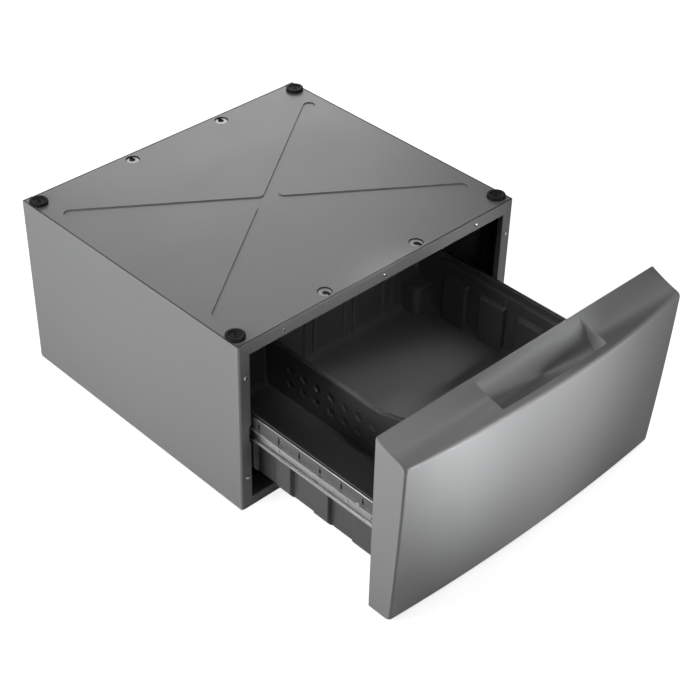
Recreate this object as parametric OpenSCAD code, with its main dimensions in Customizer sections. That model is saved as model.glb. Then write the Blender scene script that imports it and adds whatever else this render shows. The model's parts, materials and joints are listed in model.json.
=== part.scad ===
// Pedestal drawer for a front-loading washer: a folded-sheet cabinet with a
// crossed deck, a moulded drawer tub on ball slides and a bowed front panel.
// The drawer stands partly open. Origin: middle of the footprint, on the floor.

/* [Cabinet] */
// Overall width of the cabinet
cab_w = 686; // [620:1:760]
// Depth of the cabinet, front frame to back
cab_d = 618; // [590:1:720]
// Height of the cabinet, lower edge to deck
cab_h = 366; // [340:1:420]
// Thickness of the cabinet sheet
sheet_t = 1.2; // [0.8:0.1:1.6]
// Width of the frame faces beside and above the opening
frame_w = 25; // [22:0.5:30]
// Depth of the folds behind the frame faces
frame_fold = 12; // [8:0.5:16]
// Outer radius of the front upright corners
corner_r = 5; // [3:0.5:7]
// Width of the flanges along the bottom and back of the side panels
flange_w = 22; // [16:1:26]
// Height of the rails across the base
base_rail_h = 16; // [14:1:24]
// Depth of the rails across the base
base_rail_d = 30; // [22:1:36]

/* [Deck] */
// Gap between the deck and the edges around it
deck_seam = 1.8; // [1:0.1:3]
// Height of the skirt folded down around the deck
deck_skirt = 18; // [14:0.5:22]
// Width of the pressed cross in the deck
cross_w = 25; // [18:1:34]
// Depth of the pressed cross
cross_drop = 2; // [1:0.1:2.6]
// Distance from a cross arm's end to the side edge
cross_inset_x = 40; // [34:1:70]
// Distance from a cross arm's end to the front and back edges
cross_inset_y = 96; // [70:1:130]
// Fillet between the arms of the cross
cross_fillet = 11; // [6:0.5:16]
// Width of the two braces under the deck
brace_w = 44; // [30:1:60]

/* [Rubber pads] */
// Diameter of a deck pad
pad_d = 36; // [28:0.5:36]
// Height of a deck pad above the deck
pad_h = 6; // [4:0.5:9]
// Distance from a pad's centre to the side edge
pad_inset_x = 18.2; // [18:0.1:24]
// Distance from a pad's centre to the front and back edges
pad_inset_y = 27.5; // [24:0.5:34]

/* [Washer anchors] */
// Diameter of an anchor hole in the deck
anchor_d = 28; // [24:0.5:32]
// Distance between the two anchors of a pair
anchor_pitch = 227; // [180:1:300]
// Sideways shift of the front pair
anchor_shift_front = -10.5; // [-20:0.5:20]
// Sideways shift of the back pair
anchor_shift_back = 15.5; // [-20:0.5:20]
// Distance from the front pair to the front edge
anchor_inset_front = 22; // [21:0.5:30]
// Distance from the back pair to the back edge
anchor_inset_back = 22; // [21:0.5:30]
// Diameter of an anchor bolt
anchor_bolt_d = 8; // [6:0.5:10]

/* [Feet] */
// Gap between the floor and the cabinet's lower edge
foot_drop = 3; // [2:0.5:6]
// Diameter of a foot's pad
foot_d = 36; // [30:1:40]
// Diameter of a foot's stud
stud_d = 10; // [8:0.5:12]
// Height of a foot's stud above its pad
stud_h = 40; // [36:1:44]

/* [Slides] */
// Length of each slide member
slide_len = 500; // [460:1:520]
// Height of the slides' middle line above the cabinet's lower edge
slide_z = 165; // [150:1:172]
// Thickness of the whole slide
slide_t = 10.4; // [10.2:0.1:13]
// Height of the drawer member of a slide
slide_h = 27; // [24:0.5:30]
// Diameter of a bearing ball
ball_d = 2.3; // [2:0.1:2.6]
// Balls in one row
balls_in_row = 8; // [3:1:12]

/* [Drawer] */
// How far the drawer stands open
drawer_open = 321; // [120:1:345]
// Gap between the closed front panel and the cabinet
panel_gap = 3; // [2.5:0.1:5]
// Clearance between a drawer rail and the frame beside it
rail_gap = 7; // [6.8:0.1:8]
// Thickness of the steel drawer rails
rail_t = 1.5; // [1.2:0.1:2]
// Height of the drawer rails below the tub's rim
rail_h = 47; // [44:0.5:52]

/* [Tub] */
// Height of the tub
tub_h = 151; // [140:1:160]
// Height of the tub's underside above the cabinet's lower edge
tub_z = 49; // [46:1:58]
// Depth of the tub, front to back
tub_d = 517; // [480:1:530]
// Wall of the tub
tub_wall = 3; // [2.4:0.1:3.6]
// Outward step of the side walls under the rim
rim_step = 6; // [4:0.5:8]
// Height of the rim above its ledge
rim_h = 17; // [14:0.5:22]
// Radius of the floor's coved edges
cove_r = 22; // [16:1:28]
// Width of a wall pad
wall_pad_w = 58; // [40:1:66]
// How far a wall pad stands into the tub
wall_pad_t = 10; // [6:0.5:14]
// Distance between wall pads, centre to centre
wall_pad_pitch = 96; // [90:1:104]
// Distance from the tub's front to its first wall pad's centre
wall_pad_first = 112; // [90:1:130]
// Width and depth of the posts in the back corners
post_w = 46; // [36:1:56]
// Height of the posts in the back corners
post_h = 66; // [50:1:80]

/* [Divider] */
// Thickness of the divider
divider_t = 11; // [8:0.5:14]
// Distance between divider slots
divider_pitch = 106.5; // [90:0.5:120]
// Height of the divider at the back
divider_h = 114; // [100:1:120]
// Rise of the divider's top edge towards the front
divider_rise = 26; // [10:1:30]
// Diameter of the dimples in the divider
dimple_d = 18; // [12:0.5:22]
// Distance between dimples along the divider
dimple_pitch = 36.8; // [30:0.2:44]

/* [Front panel] */
// Depth of the panel at its sides, near the top
panel_depth = 66.7; // [60:0.1:76]
// How much further the middle of the panel stands out
panel_bow = 25; // [10:0.5:34]
// Wall of the panel shell
panel_wall = 2.5; // [2:0.1:3.5]
// Height of the panel's back edge above the deck
panel_rise = 15; // [10:0.5:24]
// Drop of the top from its back edge to its front edge
panel_fall = 23.5; // [16:0.5:28]
// How far the lower edge of the side faces is drawn back
taper_side = 16.5; // [8:0.5:20]
// How far the lower edge of the middle is drawn back
taper_mid = 28; // [16:0.5:30]
// Gap between the panel's lower edge and the cabinet's lower edge level
panel_clear = 2; // [1:0.5:6]
// Radius of the roll-over along the top front edge
roll_r = 11; // [8:0.5:13]
// Radius of the lower front edge
toe_r = 12; // [8:0.5:14]
// Radius of the upright front corners
panel_corner_r = 10; // [6:0.5:12]

/* [Handle pocket] */
// Length of the pocket's mouth
pocket_w = 258; // [180:1:300]
// Depth of the pocket below the front edge
pocket_drop = 29; // [20:0.5:34]
// Narrowing of each end of the pocket towards its bottom
pocket_draft = 16; // [6:0.5:20]
// Radius of the mouth's front corners
pocket_r = 9; // [5:0.5:12]
// Width of the lip in front of the pocket, up to the roll-over
lip_w = 8; // [6:0.5:11]

/* [Fasteners] */
// Diameter of a frame screw's head
screw_head_d = 8; // [6:0.5:9]
// Height of a frame screw's head
screw_head_h = 2.6; // [2:0.1:3]
// Diameter of a frame screw's shank
screw_d = 4; // [3:0.1:4.6]

/* [Hidden] */
$fn = 48;

// Overrun of every cut past the face that it starts from
over = 1;
// Running clearance between flat faces that pass each other
play = 0.4;
// Clearance round a fixed screw or stud
hole_play = 0.3;

paint = "gainsboro";
zinc = "silver";
steel = "darkgray";
rubber = "black";
resin = "dimgray";

half_w = cab_w / 2;
open_half = half_w - frame_w;
open_top = cab_h - frame_w;
shelf_z = cab_h - deck_skirt;
corner_lead = 1;
corner_x = half_w - corner_r - corner_lead;
corner_z = cab_h - corner_r - corner_lead;
brace_share = 0.28;

// Deck outline
deck_half = half_w - sheet_t - deck_seam;
deck_front = 2 * sheet_t + deck_seam;
deck_back = cab_d - 2 * sheet_t - deck_seam;
cross_x = half_w - cross_inset_x;
cross_y = cab_d / 2 - cross_inset_y;
cross_angle = atan2(cross_y, cross_x);
cross_reach = norm([cross_x, cross_y]);
arc_steps = 6;
pad_stem_d = 8;
pad_stem_h = 7;
pad_rim_w = 3.5;
pad_dish = 1.6;

// Anchor parts
cup_rim_w = 4;
cup_depth = 8;
cup_floor_d = 17;
bolt_head_af = 12;
bolt_head_h = 4;
bolt_flange_d = 15;
bolt_flange_h = 1.4;
bolt_len = 20;
nut_w = 15;
nut_h = 5;
clip_t = 1.2;
clip_drop = 2.2;
clip_bore = 12;
clip_shift = 1.5;
cup_lip_r = (anchor_d - sheet_t) / 2;
cup_low_r = (cup_floor_d - sheet_t) / 2;
clip_r = cup_lip_r - (cup_lip_r - cup_low_r) * clip_drop / (cup_depth - sheet_t);
anchors = [
    [anchor_shift_front - anchor_pitch / 2, anchor_inset_front],
    [anchor_shift_front + anchor_pitch / 2, anchor_inset_front],
    [anchor_shift_back - anchor_pitch / 2, cab_d - anchor_inset_back],
    [anchor_shift_back + anchor_pitch / 2, cab_d - anchor_inset_back]
];

// Screw places on the frame faces
header_screw_share = 0.35;
header_screw_x = [-header_screw_share * cab_w, 0, header_screw_share * cab_w];
stile_screw_shares = [0.19, 0.806];
screw_len = 9;

// Slides, measured outwards from the drawer rail's face
rail_face = open_half - rail_gap;
inner_t = 1.2;
outer_t = 1.2;
ball_play = 0.25;
ball_gap = ball_d + 2 * ball_play;
inner_half = slide_h / 2;
outer_half = inner_half + ball_gap + outer_t;
inner_reach = 6.4;
inner_lip = 3.2;
cage_t = 0.6;
cage_arm_t = 0.8;
cage_x = inner_reach + play;
outer_from = inner_t + cage_t;
ball_x = 3.9;
ball_z = inner_half + ball_gap / 2;
cage_len = 118;
slide_y = 6;
slide_bore = 5;
slide_screw_inset = 28;
notch_play = 1.6;
notch_r = 5;
notch_y = 53;
inner_bore_y = 21;
post_face = rail_face + slide_t;
post_depth = 20;
post_lip = 12;
post_front_y = 38;
post_back_y = slide_y + slide_len - slide_screw_inset - post_depth / 2;
post_foot = sheet_t + base_rail_h;
stiffener_web_x = half_w - corner_r - sheet_t;
stiffener_depth = 24;
rivet_head_d = 7;
rivet_head_h = 1.4;

// Feet
foot_pad_h = 6;
foot_x = rail_face - foot_d / 2;
foot_reach = foot_d / 2 + over;
base_rail_y = frame_fold + play;
base_rail_back_y = cab_d - 2 * sheet_t - base_rail_d;
bracket_t = 3;
bracket_rise = 11;
bracket_low = foot_pad_h - foot_drop + play;
bracket_z = foot_pad_h - foot_drop + bracket_rise;
bracket_w = 72;
bracket_side = 21;
bracket_reach = 40;
lock_nut_h = 6;
lock_nut_af = 17;

// Drawer
tub_fit = 0.5;
tub_half = rail_face - rail_t - tub_fit;
tub_side = tub_half - rim_step;
tub_top = tub_z + tub_h;
ledge_z = tub_top - rim_h;
tub_y = 2;
tub_in = tub_side - tub_wall;
floor_z = tub_z + tub_wall;
rim_stop = 66;
rim_back = tub_d - rim_stop;
tub_corner_r = 8;
wall_pads = 4;
wall_pad_drop = 24;
wall_pad_top = ledge_z - wall_pad_drop;
slot_rib_w = 9;
slot_rib_t = 8;
slot_gap = 16;
slot_places = [-2, -1, 0, 1, 2];
boss_d = 13;
boss_drop = 20;
boss_z = ledge_z - boss_drop;
tub_screw_share = 0.29;
tub_screw_x = [-2 * tub_screw_share * tub_in, 0, 2 * tub_screw_share * tub_in];

rail_tail = 6;
rail_len = slide_len + rail_tail;
rail_top = tub_top - tub_fit;
rail_bottom = rail_top - rail_h;
rail_tab_w = 26;
rail_slot_h = 15;
rail_slot_top_w = 1.6;
rail_slot_foot_w = 5;
rail_slot_pitch = 51.5;
rail_slot_first = 50;
rail_slots = 1 + floor((rail_len - rail_slot_first - 2 * rail_slot_foot_w) / rail_slot_pitch);

divider_x = -divider_pitch;
divider_play = 0.3;
divider_y0 = tub_y + tub_wall + divider_play;
divider_y1 = tub_y + tub_d - tub_wall - divider_play;
rise_start_share = 0.43;
rise_end_share = 0.2;
dimple_drop = 2.2;
dimples = 11;
dimple_rows = [38, 72];
dimple_back = 70;

// Front panel, measured forwards from its back plane
panel_half = half_w;
panel_z0 = panel_clear;
panel_top = cab_h + panel_rise;
panel_front_z = panel_top - panel_fall;
lip_margin = 3;
lip_s = panel_depth + panel_bow - roll_r - lip_w;
fall_sag = 4;
taper_linear_share = 0.48;
end_drop_share = 0.6;
stations = 13;
corner_stations = 5;
face_steps = 5;
fall_steps = 6;
back_t = 1.5;
back_play = 1.2;
pocket_back = 6;
pocket_half = pocket_w / 2;
panel_boss_d = 10;
panel_screw_x_share = 0.92;
panel_screw_z_shares = [0.12, 0.5, 0.86];
bumper_d = 14;
bumper_x = half_w - frame_w / 2;
bumper_z_shares = [0.16, 0.88];

// Where the drawer, the slides and the cages stand, seen from the cabinet
front_reach = drawer_open + panel_gap + panel_depth + panel_bow;
rest_y = (front_reach - cab_d - screw_head_h) / 2;

module on_cabinet() { translate([0, rest_y, foot_drop]) children(); }
module on_drawer() { on_cabinet() translate([0, -drawer_open, 0]) children(); }
module on_cage() { on_cabinet() translate([0, -drawer_open / 2, 0]) children(); }

// Everything handed is drawn on the right and mirrored for the left
module handed(side) { mirror([side < 0 ? 1 : 0, 0, 0]) children(); }

// A plate t thick that stands upright, drawn in x and z, its front at y = 0
module upright(t) { translate([0, t, 0]) rotate([90, 0, 0]) linear_extrude(t) children(); }

// A block between two corners
module block(a, b) { translate(a) cube(b - a); }

// A round bar or hole along y from y = 0
module bar_y(d, len) { rotate([-90, 0, 0]) cylinder(d = d, h = len); }

// A round bar or hole along x from x = 0
module bar_x(d, len) { rotate([0, 90, 0]) cylinder(d = d, h = len); }

// Folded side panel with the frame face, bottom flange, deck shelf and back flange
module side_panel(side) {
    color(paint) on_cabinet() handed(side) difference() {
        union() {
            linear_extrude(cab_h) polygon(side_outline());
            stile_face();
            block([open_half, 0, 0], [open_half + sheet_t, frame_fold, open_top]);
            block([half_w - flange_w, frame_fold + over, 0], [half_w, cab_d, sheet_t]);
            block([half_w - flange_w, frame_fold + over, shelf_z - sheet_t],
                [half_w, deck_back, shelf_z]);
            block([half_w - flange_w, cab_d - sheet_t, 0], [half_w, cab_d, cab_h]);
        }
        slide_notch();
        stile_screw_holes();
        for (z = back_screw_z())
            translate([half_w - flange_w / 2, cab_d - sheet_t - over, z])
                bar_y(screw_d + 2 * hole_play, sheet_t + 2 * over);
    }
}

// Side wall seen from above, with its rounded front corner and a short lead to the frame
function side_outline() = concat(
    [[corner_x, 0]],
    corner_arc(corner_r),
    [[half_w, cab_d], [half_w - sheet_t, cab_d]],
    corner_arc(corner_r - sheet_t, -1),
    [[corner_x, sheet_t]]
);
function corner_arc(r, turn = 1) = [
    for (j = [0 : arc_steps]) let (a = 315 + turn * (90 * j / arc_steps - 45))
        [half_w - corner_r + r * cos(a), corner_r + r * sin(a)]
];

module stile_face() {
    upright(sheet_t) polygon([
        [open_half, 0],
        [corner_x + corner_lead / 2, 0],
        [corner_x + corner_lead / 2, corner_z - play],
        [corner_x, corner_z - play],
        [open_half, open_top - play]
    ]);
}

module slide_notch() {
    block([open_half - over, -over, slide_z - outer_half - notch_play],
        [post_face + play, frame_fold + over, slide_z + outer_half + notch_play]);
}

function stile_screw_z() = [for (s = stile_screw_shares) s * cab_h];
function back_screw_z() = [for (s = stile_screw_shares) s * cab_h];
function stile_screw_x() = half_w - (corner_r + frame_w) / 2;

module stile_screw_holes() {
    for (z = stile_screw_z())
        translate([stile_screw_x(), -over, z])
            bar_y(screw_d + 2 * hole_play, sheet_t + 2 * over);
}

// Outline of the pressed cross, grown by g
function cross_outline(g) = let (
    h = cross_w / 2 + g,
    f = cross_fillet - g,
    arms = [cross_angle, 180 - cross_angle, 180 + cross_angle, 360 - cross_angle, 360 + cross_angle]
) [
    for (k = [0 : 3]) each concat(
        [for (j = [0 : arc_steps]) let (a = arms[k] - 90 + 180 * j / arc_steps)
            cross_reach * [cos(arms[k]), sin(arms[k])] + h * [cos(a), sin(a)]],
        [for (j = [0 : arc_steps]) let (
            b = (arms[k] + arms[k + 1]) / 2,
            p = (arms[k + 1] - arms[k]) / 2,
            a0 = arms[k] - 90,
            a1 = arms[k + 1] + 90 - 360,
            a = a0 + (a1 - a0) * j / arc_steps)
            (h + f) / sin(p) * [cos(b), sin(b)] + f * [cos(a), sin(a)]]
    )
];

module cross_plate(g, z0, z1) {
    translate([0, cab_d / 2, z0]) linear_extrude(z1 - z0) polygon(cross_outline(g));
}

// Deck pan: top sheet with the pressed cross and a skirt on four sides
module deck() {
    top_z = cab_h - sheet_t;
    color(paint) on_cabinet() difference() {
        union() {
            difference() {
                block([-deck_half, deck_front, top_z], [deck_half, deck_back, cab_h]);
                cross_plate(0, top_z - over, cab_h + over);
            }
            difference() {
                cross_plate(sheet_t, top_z - cross_drop, top_z);
                cross_plate(0, cab_h - cross_drop, cab_h);
            }
            difference() {
                block([-deck_half, deck_front, shelf_z], [deck_half, deck_back, top_z]);
                block([sheet_t - deck_half, deck_front + sheet_t, shelf_z - over],
                    [deck_half - sheet_t, deck_back - sheet_t, top_z]);
            }
        }
        for (p = anchors) translate([p.x, p.y, top_z - over])
            cylinder(d = anchor_d, h = sheet_t + 2 * over);
        for (p = pad_places()) translate([p.x, p.y, top_z - over])
            cylinder(d = pad_stem_d + 2 * hole_play, h = sheet_t + 2 * over);
        for (x = header_screw_x) {
            translate([x, deck_front - over, frame_screw_z()])
                bar_y(screw_d + 2 * hole_play, sheet_t + 2 * over);
            translate([x, deck_back - sheet_t - over, frame_screw_z()])
                bar_y(screw_d + 2 * hole_play, sheet_t + 2 * over);
        }
    }
}

function frame_screw_z() = cab_h - frame_w / 2;
function pad_places() = [
    for (x = [pad_inset_x - half_w, half_w - pad_inset_x], y = [pad_inset_y, cab_d - pad_inset_y])
        [x, y]
];

// Front header: mitred face, hemmed upper edge and a channel fold behind
module header() {
    color(paint) on_cabinet() difference() {
        union() {
            upright(sheet_t) polygon([
                [open_half, open_top], [corner_x, corner_z],
                [corner_x, cab_h - sheet_t], [-corner_x, cab_h - sheet_t],
                [-corner_x, corner_z], [-open_half, open_top]
            ]);
            header_hem();
            block([-open_half, 0, open_top], [open_half, frame_fold, open_top + sheet_t]);
            block([-open_half, frame_fold - sheet_t, open_top],
                [open_half, frame_fold, shelf_z - play]);
        }
        for (x = header_screw_x) translate([x, -over, frame_screw_z()])
            bar_y(screw_d + 2 * hole_play, 2 * sheet_t + 2 * over);
    }
}

// Sheet turned back behind the header's face, round along its upper edge
module header_hem() {
    foot_x = open_half
        + (corner_x - open_half) * (shelf_z - open_top) / (corner_z - open_top);
    translate([0, sheet_t / 2, 0]) upright(2 * sheet_t - sheet_t / 2) polygon([
        [foot_x, shelf_z], [corner_x, corner_z],
        [corner_x, cab_h - sheet_t], [-corner_x, cab_h - sheet_t],
        [-corner_x, corner_z], [-foot_x, shelf_z]
    ]);
    translate([-corner_x, sheet_t, cab_h - sheet_t]) bar_x(2 * sheet_t, 2 * corner_x);
}

// Back panel with three pressed beads
module back_panel() {
    y1 = cab_d - sheet_t;
    y0 = y1 - sheet_t;
    bead_h = 26;
    bead_in = 5;
    bead_half = half_w - 3 * flange_w;
    color(paint) on_cabinet() difference() {
        union() {
            block([sheet_t + play - half_w, y0, sheet_t], [half_w - sheet_t - play, y1, cab_h]);
            for (z = back_bead_z()) bead(bead_half, bead_h, y0 - bead_in, y0 + sheet_t / 2, z);
        }
        for (z = back_bead_z())
            bead(bead_half - sheet_t, bead_h - 2 * sheet_t, y0 - bead_in + sheet_t, y1 + over, z);
        for (z = back_screw_z(), x = [flange_w / 2 - half_w, half_w - flange_w / 2])
            translate([x, y0 - over, z]) bar_y(screw_d + 2 * hole_play, sheet_t + 2 * over);
        for (x = header_screw_x) translate([x, y0 - over, frame_screw_z()])
            bar_y(screw_d + 2 * hole_play, sheet_t + 2 * over);
    }
}

function back_bead_z() = [for (k = [1 : 3]) k * shelf_z / 4];

module bead(half, h, y0, y1, z) {
    r = h / 2;
    block([r - half, y0, z - r], [half - r, y1, z + r]);
    for (x = [r - half, half - r]) translate([x, y0, z]) bar_y(h, y1 - y0);
}

// Base rail: a channel open below on the side flanges, in front with a sill between the frames
module base_rail(y0, sill) {
    rail_half = half_w - sheet_t - play;
    y1 = y0 + base_rail_d;
    color(paint) on_cabinet() difference() {
        union() {
            block([-rail_half, y0, sheet_t], [rail_half, y1, post_foot]);
            if (sill) block([-open_half, 0, 0], [open_half, y0 + sheet_t, post_foot]);
        }
        block([-rail_half - over, y0 + sheet_t, -over],
            [rail_half + over, y1 - sheet_t, post_foot - sheet_t]);
        if (sill) block([sheet_t - open_half, sheet_t, -over],
            [open_half - sheet_t, y0 + 2 * sheet_t, post_foot - sheet_t]);
    }
}

// Hat-section brace under the deck, its ends on the shelves of the side panels
module deck_brace(share) {
    z1 = cab_h - sheet_t - cross_drop;
    w = brace_w / 2;
    lip = brace_w / 4;
    end = half_w - sheet_t - deck_seam - 2 * sheet_t;
    color(steel) on_cabinet() translate([0, share * cab_d, 0]) union() {
        block([-end, -w, z1 - sheet_t], [end, w, z1]);
        for (s = [-1, 1]) {
            block([-end, s * (w - sheet_t / 2) - sheet_t / 2, shelf_z],
                [end, s * (w - sheet_t / 2) + sheet_t / 2, z1]);
            block([-end, s * (w + lip / 2) - lip / 2, shelf_z],
                [end, s * (w + lip / 2) + lip / 2, shelf_z + sheet_t]);
        }
    }
}

// Upright hat post that carries one end of an outer slide member
module slide_post(side, back) {
    y0 = back ? post_back_y : post_front_y;
    y1 = y0 + post_depth;
    z1 = shelf_z - sheet_t;
    color(steel) on_cabinet() handed(side) difference() {
        union() {
            block([post_face, y0, post_foot], [post_face + sheet_t, y1, z1]);
            for (y = [y0, y1 - sheet_t])
                block([post_face, y, post_foot], [half_w - sheet_t, y + sheet_t, z1]);
            block([half_w - 2 * sheet_t, y0 - post_lip, post_foot],
                [half_w - sheet_t, y0 + sheet_t, z1]);
            block([half_w - 2 * sheet_t, y1 - sheet_t, post_foot],
                [half_w - sheet_t, y1 + post_lip, z1]);
        }
        translate([post_face - over, post_screw_y(back), slide_z])
            bar_x(screw_d + 2 * hole_play, sheet_t + 2 * over);
    }
}

function post_screw_y(back) = (back ? post_back_y : post_front_y) + post_depth / 2;

// Stiffener behind an upright frame face: face strip, offset web and side flange
module frame_stiffener(side) {
    z1 = shelf_z - sheet_t;
    color(steel) on_cabinet() handed(side) difference() {
        union() {
            block([open_half + sheet_t, sheet_t, post_foot],
                [stiffener_web_x + sheet_t, 2 * sheet_t, z1]);
            block([stiffener_web_x, sheet_t, post_foot],
                [stiffener_web_x + sheet_t, frame_fold, z1]);
            block([stiffener_web_x, frame_fold - sheet_t, post_foot],
                [half_w - sheet_t, frame_fold, z1]);
            block([half_w - 2 * sheet_t, frame_fold - sheet_t, post_foot],
                [half_w - sheet_t, stiffener_depth, z1]);
        }
        slide_notch();
        for (z = stile_screw_z()) translate([stile_screw_x(), 0, z])
            bar_y(screw_d + 2 * hole_play, 2 * sheet_t + over);
    }
}

// Places one of the four foot mounts: its rail's inner face is at y = 0
module at_foot(side, back) {
    handed(side) translate([0, back ? base_rail_back_y : base_rail_y + base_rail_d, 0])
        mirror([0, back ? 1 : 0, 0]) children();
}

// Brackets on the base rails that hold the feet: plate, flange and two gussets
module foot_brackets() {
    x1 = foot_x + bracket_side;
    x0 = x1 - bracket_w;
    color(steel) on_cabinet() for (side = [-1, 1], back = [false, true]) at_foot(side, back)
        difference() {
            union() {
                block([x0, 0, bracket_z], [x1, bracket_reach, bracket_z + bracket_t]);
                block([x0, 0, bracket_low], [x1, bracket_t, bracket_z]);
                for (x = [x0, x1 - bracket_t]) translate([x, 0, 0]) rotate([90, 0, 90])
                    linear_extrude(bracket_t) polygon([
                        [0, bracket_low],
                        [bracket_t, bracket_low],
                        [bracket_reach, bracket_z], [0, bracket_z]
                    ]);
            }
            translate([foot_x, foot_reach, bracket_z - over])
                cylinder(d = stud_d + 2 * hole_play, h = bracket_t + 2 * over);
        }
}

module foot_lock_nuts() {
    color(zinc) on_cabinet() for (side = [-1, 1], back = [false, true]) at_foot(side, back)
        translate([foot_x, foot_reach, bracket_z + bracket_t]) difference() {
            cylinder(d = lock_nut_af / cos(30), h = lock_nut_h, $fn = 6);
            translate([0, 0, -over]) cylinder(d = stud_d + 2 * hole_play, h = lock_nut_h + 2 * over);
        }
}

// Levelling foot: ribbed rubber pad, hex collar and stud
module foot(side, back) {
    collar_h = 2;
    tread = 1;
    on_cabinet() at_foot(side, back) translate([foot_x, foot_reach, -foot_drop]) {
        color(rubber) difference() {
            rotate_extrude() polygon([
                [0, 0], [foot_d / 2 - tread, 0], [foot_d / 2, tread],
                [foot_d / 2, foot_pad_h - 2 * tread], [foot_d / 2 - 2 * tread, foot_pad_h],
                [0, foot_pad_h]
            ]);
            translate([0, 0, -over]) difference() {
                cylinder(d = foot_d / 2 + 2 * tread, h = over + tread);
                translate([0, 0, -over]) cylinder(d = foot_d / 2, h = 3 * over + tread);
            }
        }
        color(zinc) translate([0, 0, foot_pad_h])
            cylinder(d = lock_nut_af / cos(30), h = collar_h, $fn = 6);
        color(zinc) translate([0, 0, foot_pad_h]) cylinder(d = stud_d, h = stud_h - over);
        color(zinc) translate([0, 0, foot_pad_h + stud_h - over])
            cylinder(d1 = stud_d, d2 = stud_d - 2 * over, h = over);
    }
}

// Rubber pads on the deck's corners: a raised rim round a dished middle
module deck_pads() {
    color(rubber) on_cabinet() for (p = pad_places()) translate([p.x, p.y, cab_h])
        rotate_extrude() polygon([
            [0, -pad_stem_h], [pad_stem_d / 2, -pad_stem_h], [pad_stem_d / 2, 0],
            [pad_d / 2, 0], [pad_d / 2, pad_h - pad_rim_w / 2],
            [pad_d / 2 - pad_rim_w / 4, pad_h - pad_rim_w / 6],
            [pad_d / 2 - pad_rim_w / 2, pad_h],
            [pad_d / 2 - pad_rim_w, pad_h - pad_rim_w / 6],
            [pad_d / 2 - 1.4 * pad_rim_w, pad_h - pad_dish], [0, pad_h - pad_dish]
        ]);
}

// Dished cup under each anchor hole, its flange cut flat beside the skirt
module anchor_cups() {
    y0 = deck_front + sheet_t + play;
    y1 = deck_back - sheet_t - play;
    color(steel) on_cabinet() intersection() {
        block([-deck_half, y0, shelf_z], [deck_half, y1, cab_h]);
        for (p = anchors) translate([p.x, p.y, cab_h - sheet_t])
            rotate_extrude() polygon([
                [anchor_bolt_d / 2 + hole_play, -cup_depth],
                [cup_floor_d / 2, -cup_depth],
                [anchor_d / 2 + sheet_t / 2, -sheet_t],
                [anchor_d / 2 + cup_rim_w, -sheet_t],
                [anchor_d / 2 + cup_rim_w, 0],
                [cup_lip_r, 0],
                [cup_low_r, sheet_t - cup_depth],
                [anchor_bolt_d / 2 + hole_play, sheet_t - cup_depth]
            ]);
    }
}

// Keeper clip in each cup, open towards the nearer edge of the deck
module anchor_clips() {
    color(zinc) on_cabinet() for (p = anchors)
        translate([p.x, p.y, cab_h - sheet_t - clip_drop]) mirror([0, p.y > cab_d / 2 ? 1 : 0, 0])
            difference() {
                cylinder(r1 = clip_r, r2 = clip_r + clip_t / 2, h = clip_t);
                translate([0, -clip_shift, -over]) cylinder(d = clip_bore, h = clip_t + 2 * over);
                block([-clip_shift, -2 * clip_r, -over],
                    [clip_bore / 2, -clip_shift, clip_t + over]);
            }
}

module anchor_bolts() {
    color(steel) on_cabinet() for (p = anchors)
        translate([p.x, p.y, cab_h - cup_depth]) {
            cylinder(d = bolt_flange_d, h = bolt_flange_h);
            cylinder(d = bolt_head_af / cos(30), h = bolt_head_h, $fn = 6);
            translate([0, 0, -bolt_len]) cylinder(d = anchor_bolt_d, h = bolt_len);
        }
}

module anchor_nuts() {
    color(zinc) on_cabinet() for (p = anchors)
        translate([p.x, p.y, cab_h - sheet_t - cup_depth - nut_h]) difference() {
            block([-nut_w / 2, -nut_w / 2, 0], [nut_w / 2, nut_w / 2, nut_h]);
            translate([0, 0, -over])
                cylinder(d = anchor_bolt_d + 2 * hole_play, h = nut_h + 2 * over);
        }
}

// Domed screw with its head in front of y = 0 and its shank behind
module dome_screw(len) {
    rotate([90, 0, 0]) rotate_extrude() polygon([
        [0, -len], [screw_d / 2, -len], [screw_d / 2, 0],
        [screw_head_d / 2, 0],
        [0.47 * screw_head_d, 0.45 * screw_head_h],
        [0.38 * screw_head_d, 0.78 * screw_head_h],
        [0.2 * screw_head_d, screw_head_h], [0, screw_head_h]
    ]);
}

module frame_screws() {
    color(zinc) on_cabinet() {
        for (x = header_screw_x) translate([x, 0, frame_screw_z()]) dome_screw(screw_len);
        for (side = [-1, 1], z = stile_screw_z())
            translate([side * stile_screw_x(), 0, z]) dome_screw(screw_len);
    }
}

module back_screws() {
    color(zinc) on_cabinet() {
        for (x = header_screw_x) translate([x, cab_d - sheet_t, frame_screw_z()])
            rotate([0, 0, 180]) dome_screw(screw_len);
        for (side = [-1, 1], z = back_screw_z())
            translate([side * (half_w - flange_w / 2), cab_d, z])
                rotate([0, 0, 180]) dome_screw(screw_len);
    }
}

// Slide members are drawn about the slide's middle line, x outwards from the rail
module at_slide(side) { handed(side) translate([rail_face, slide_y, slide_z]) children(); }

// Channel: a web and two flanges, from x0 to x1, with its web at web_x
module channel(x0, x1, web_x, half, t) {
    block([web_x, 0, -half], [web_x + t, slide_len, half]);
    for (s = [-1, 1]) block([x0, 0, s * (half - t / 2) - t / 2],
        [x1, slide_len, s * (half - t / 2) + t / 2]);
}

module slide_outer(side) {
    color(zinc) on_cabinet() at_slide(side) difference() {
        channel(outer_from, slide_t, slide_t - outer_t, outer_half, outer_t);
        for (back = [false, true])
            translate([slide_t - outer_t - over, post_screw_y(back) - slide_y, 0]) {
                bar_x(screw_d + 2 * hole_play, outer_t + 2 * over);
                bar_x(screw_head_d + 2 * hole_play, over + outer_t / 2);
            }
    }
}

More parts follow.
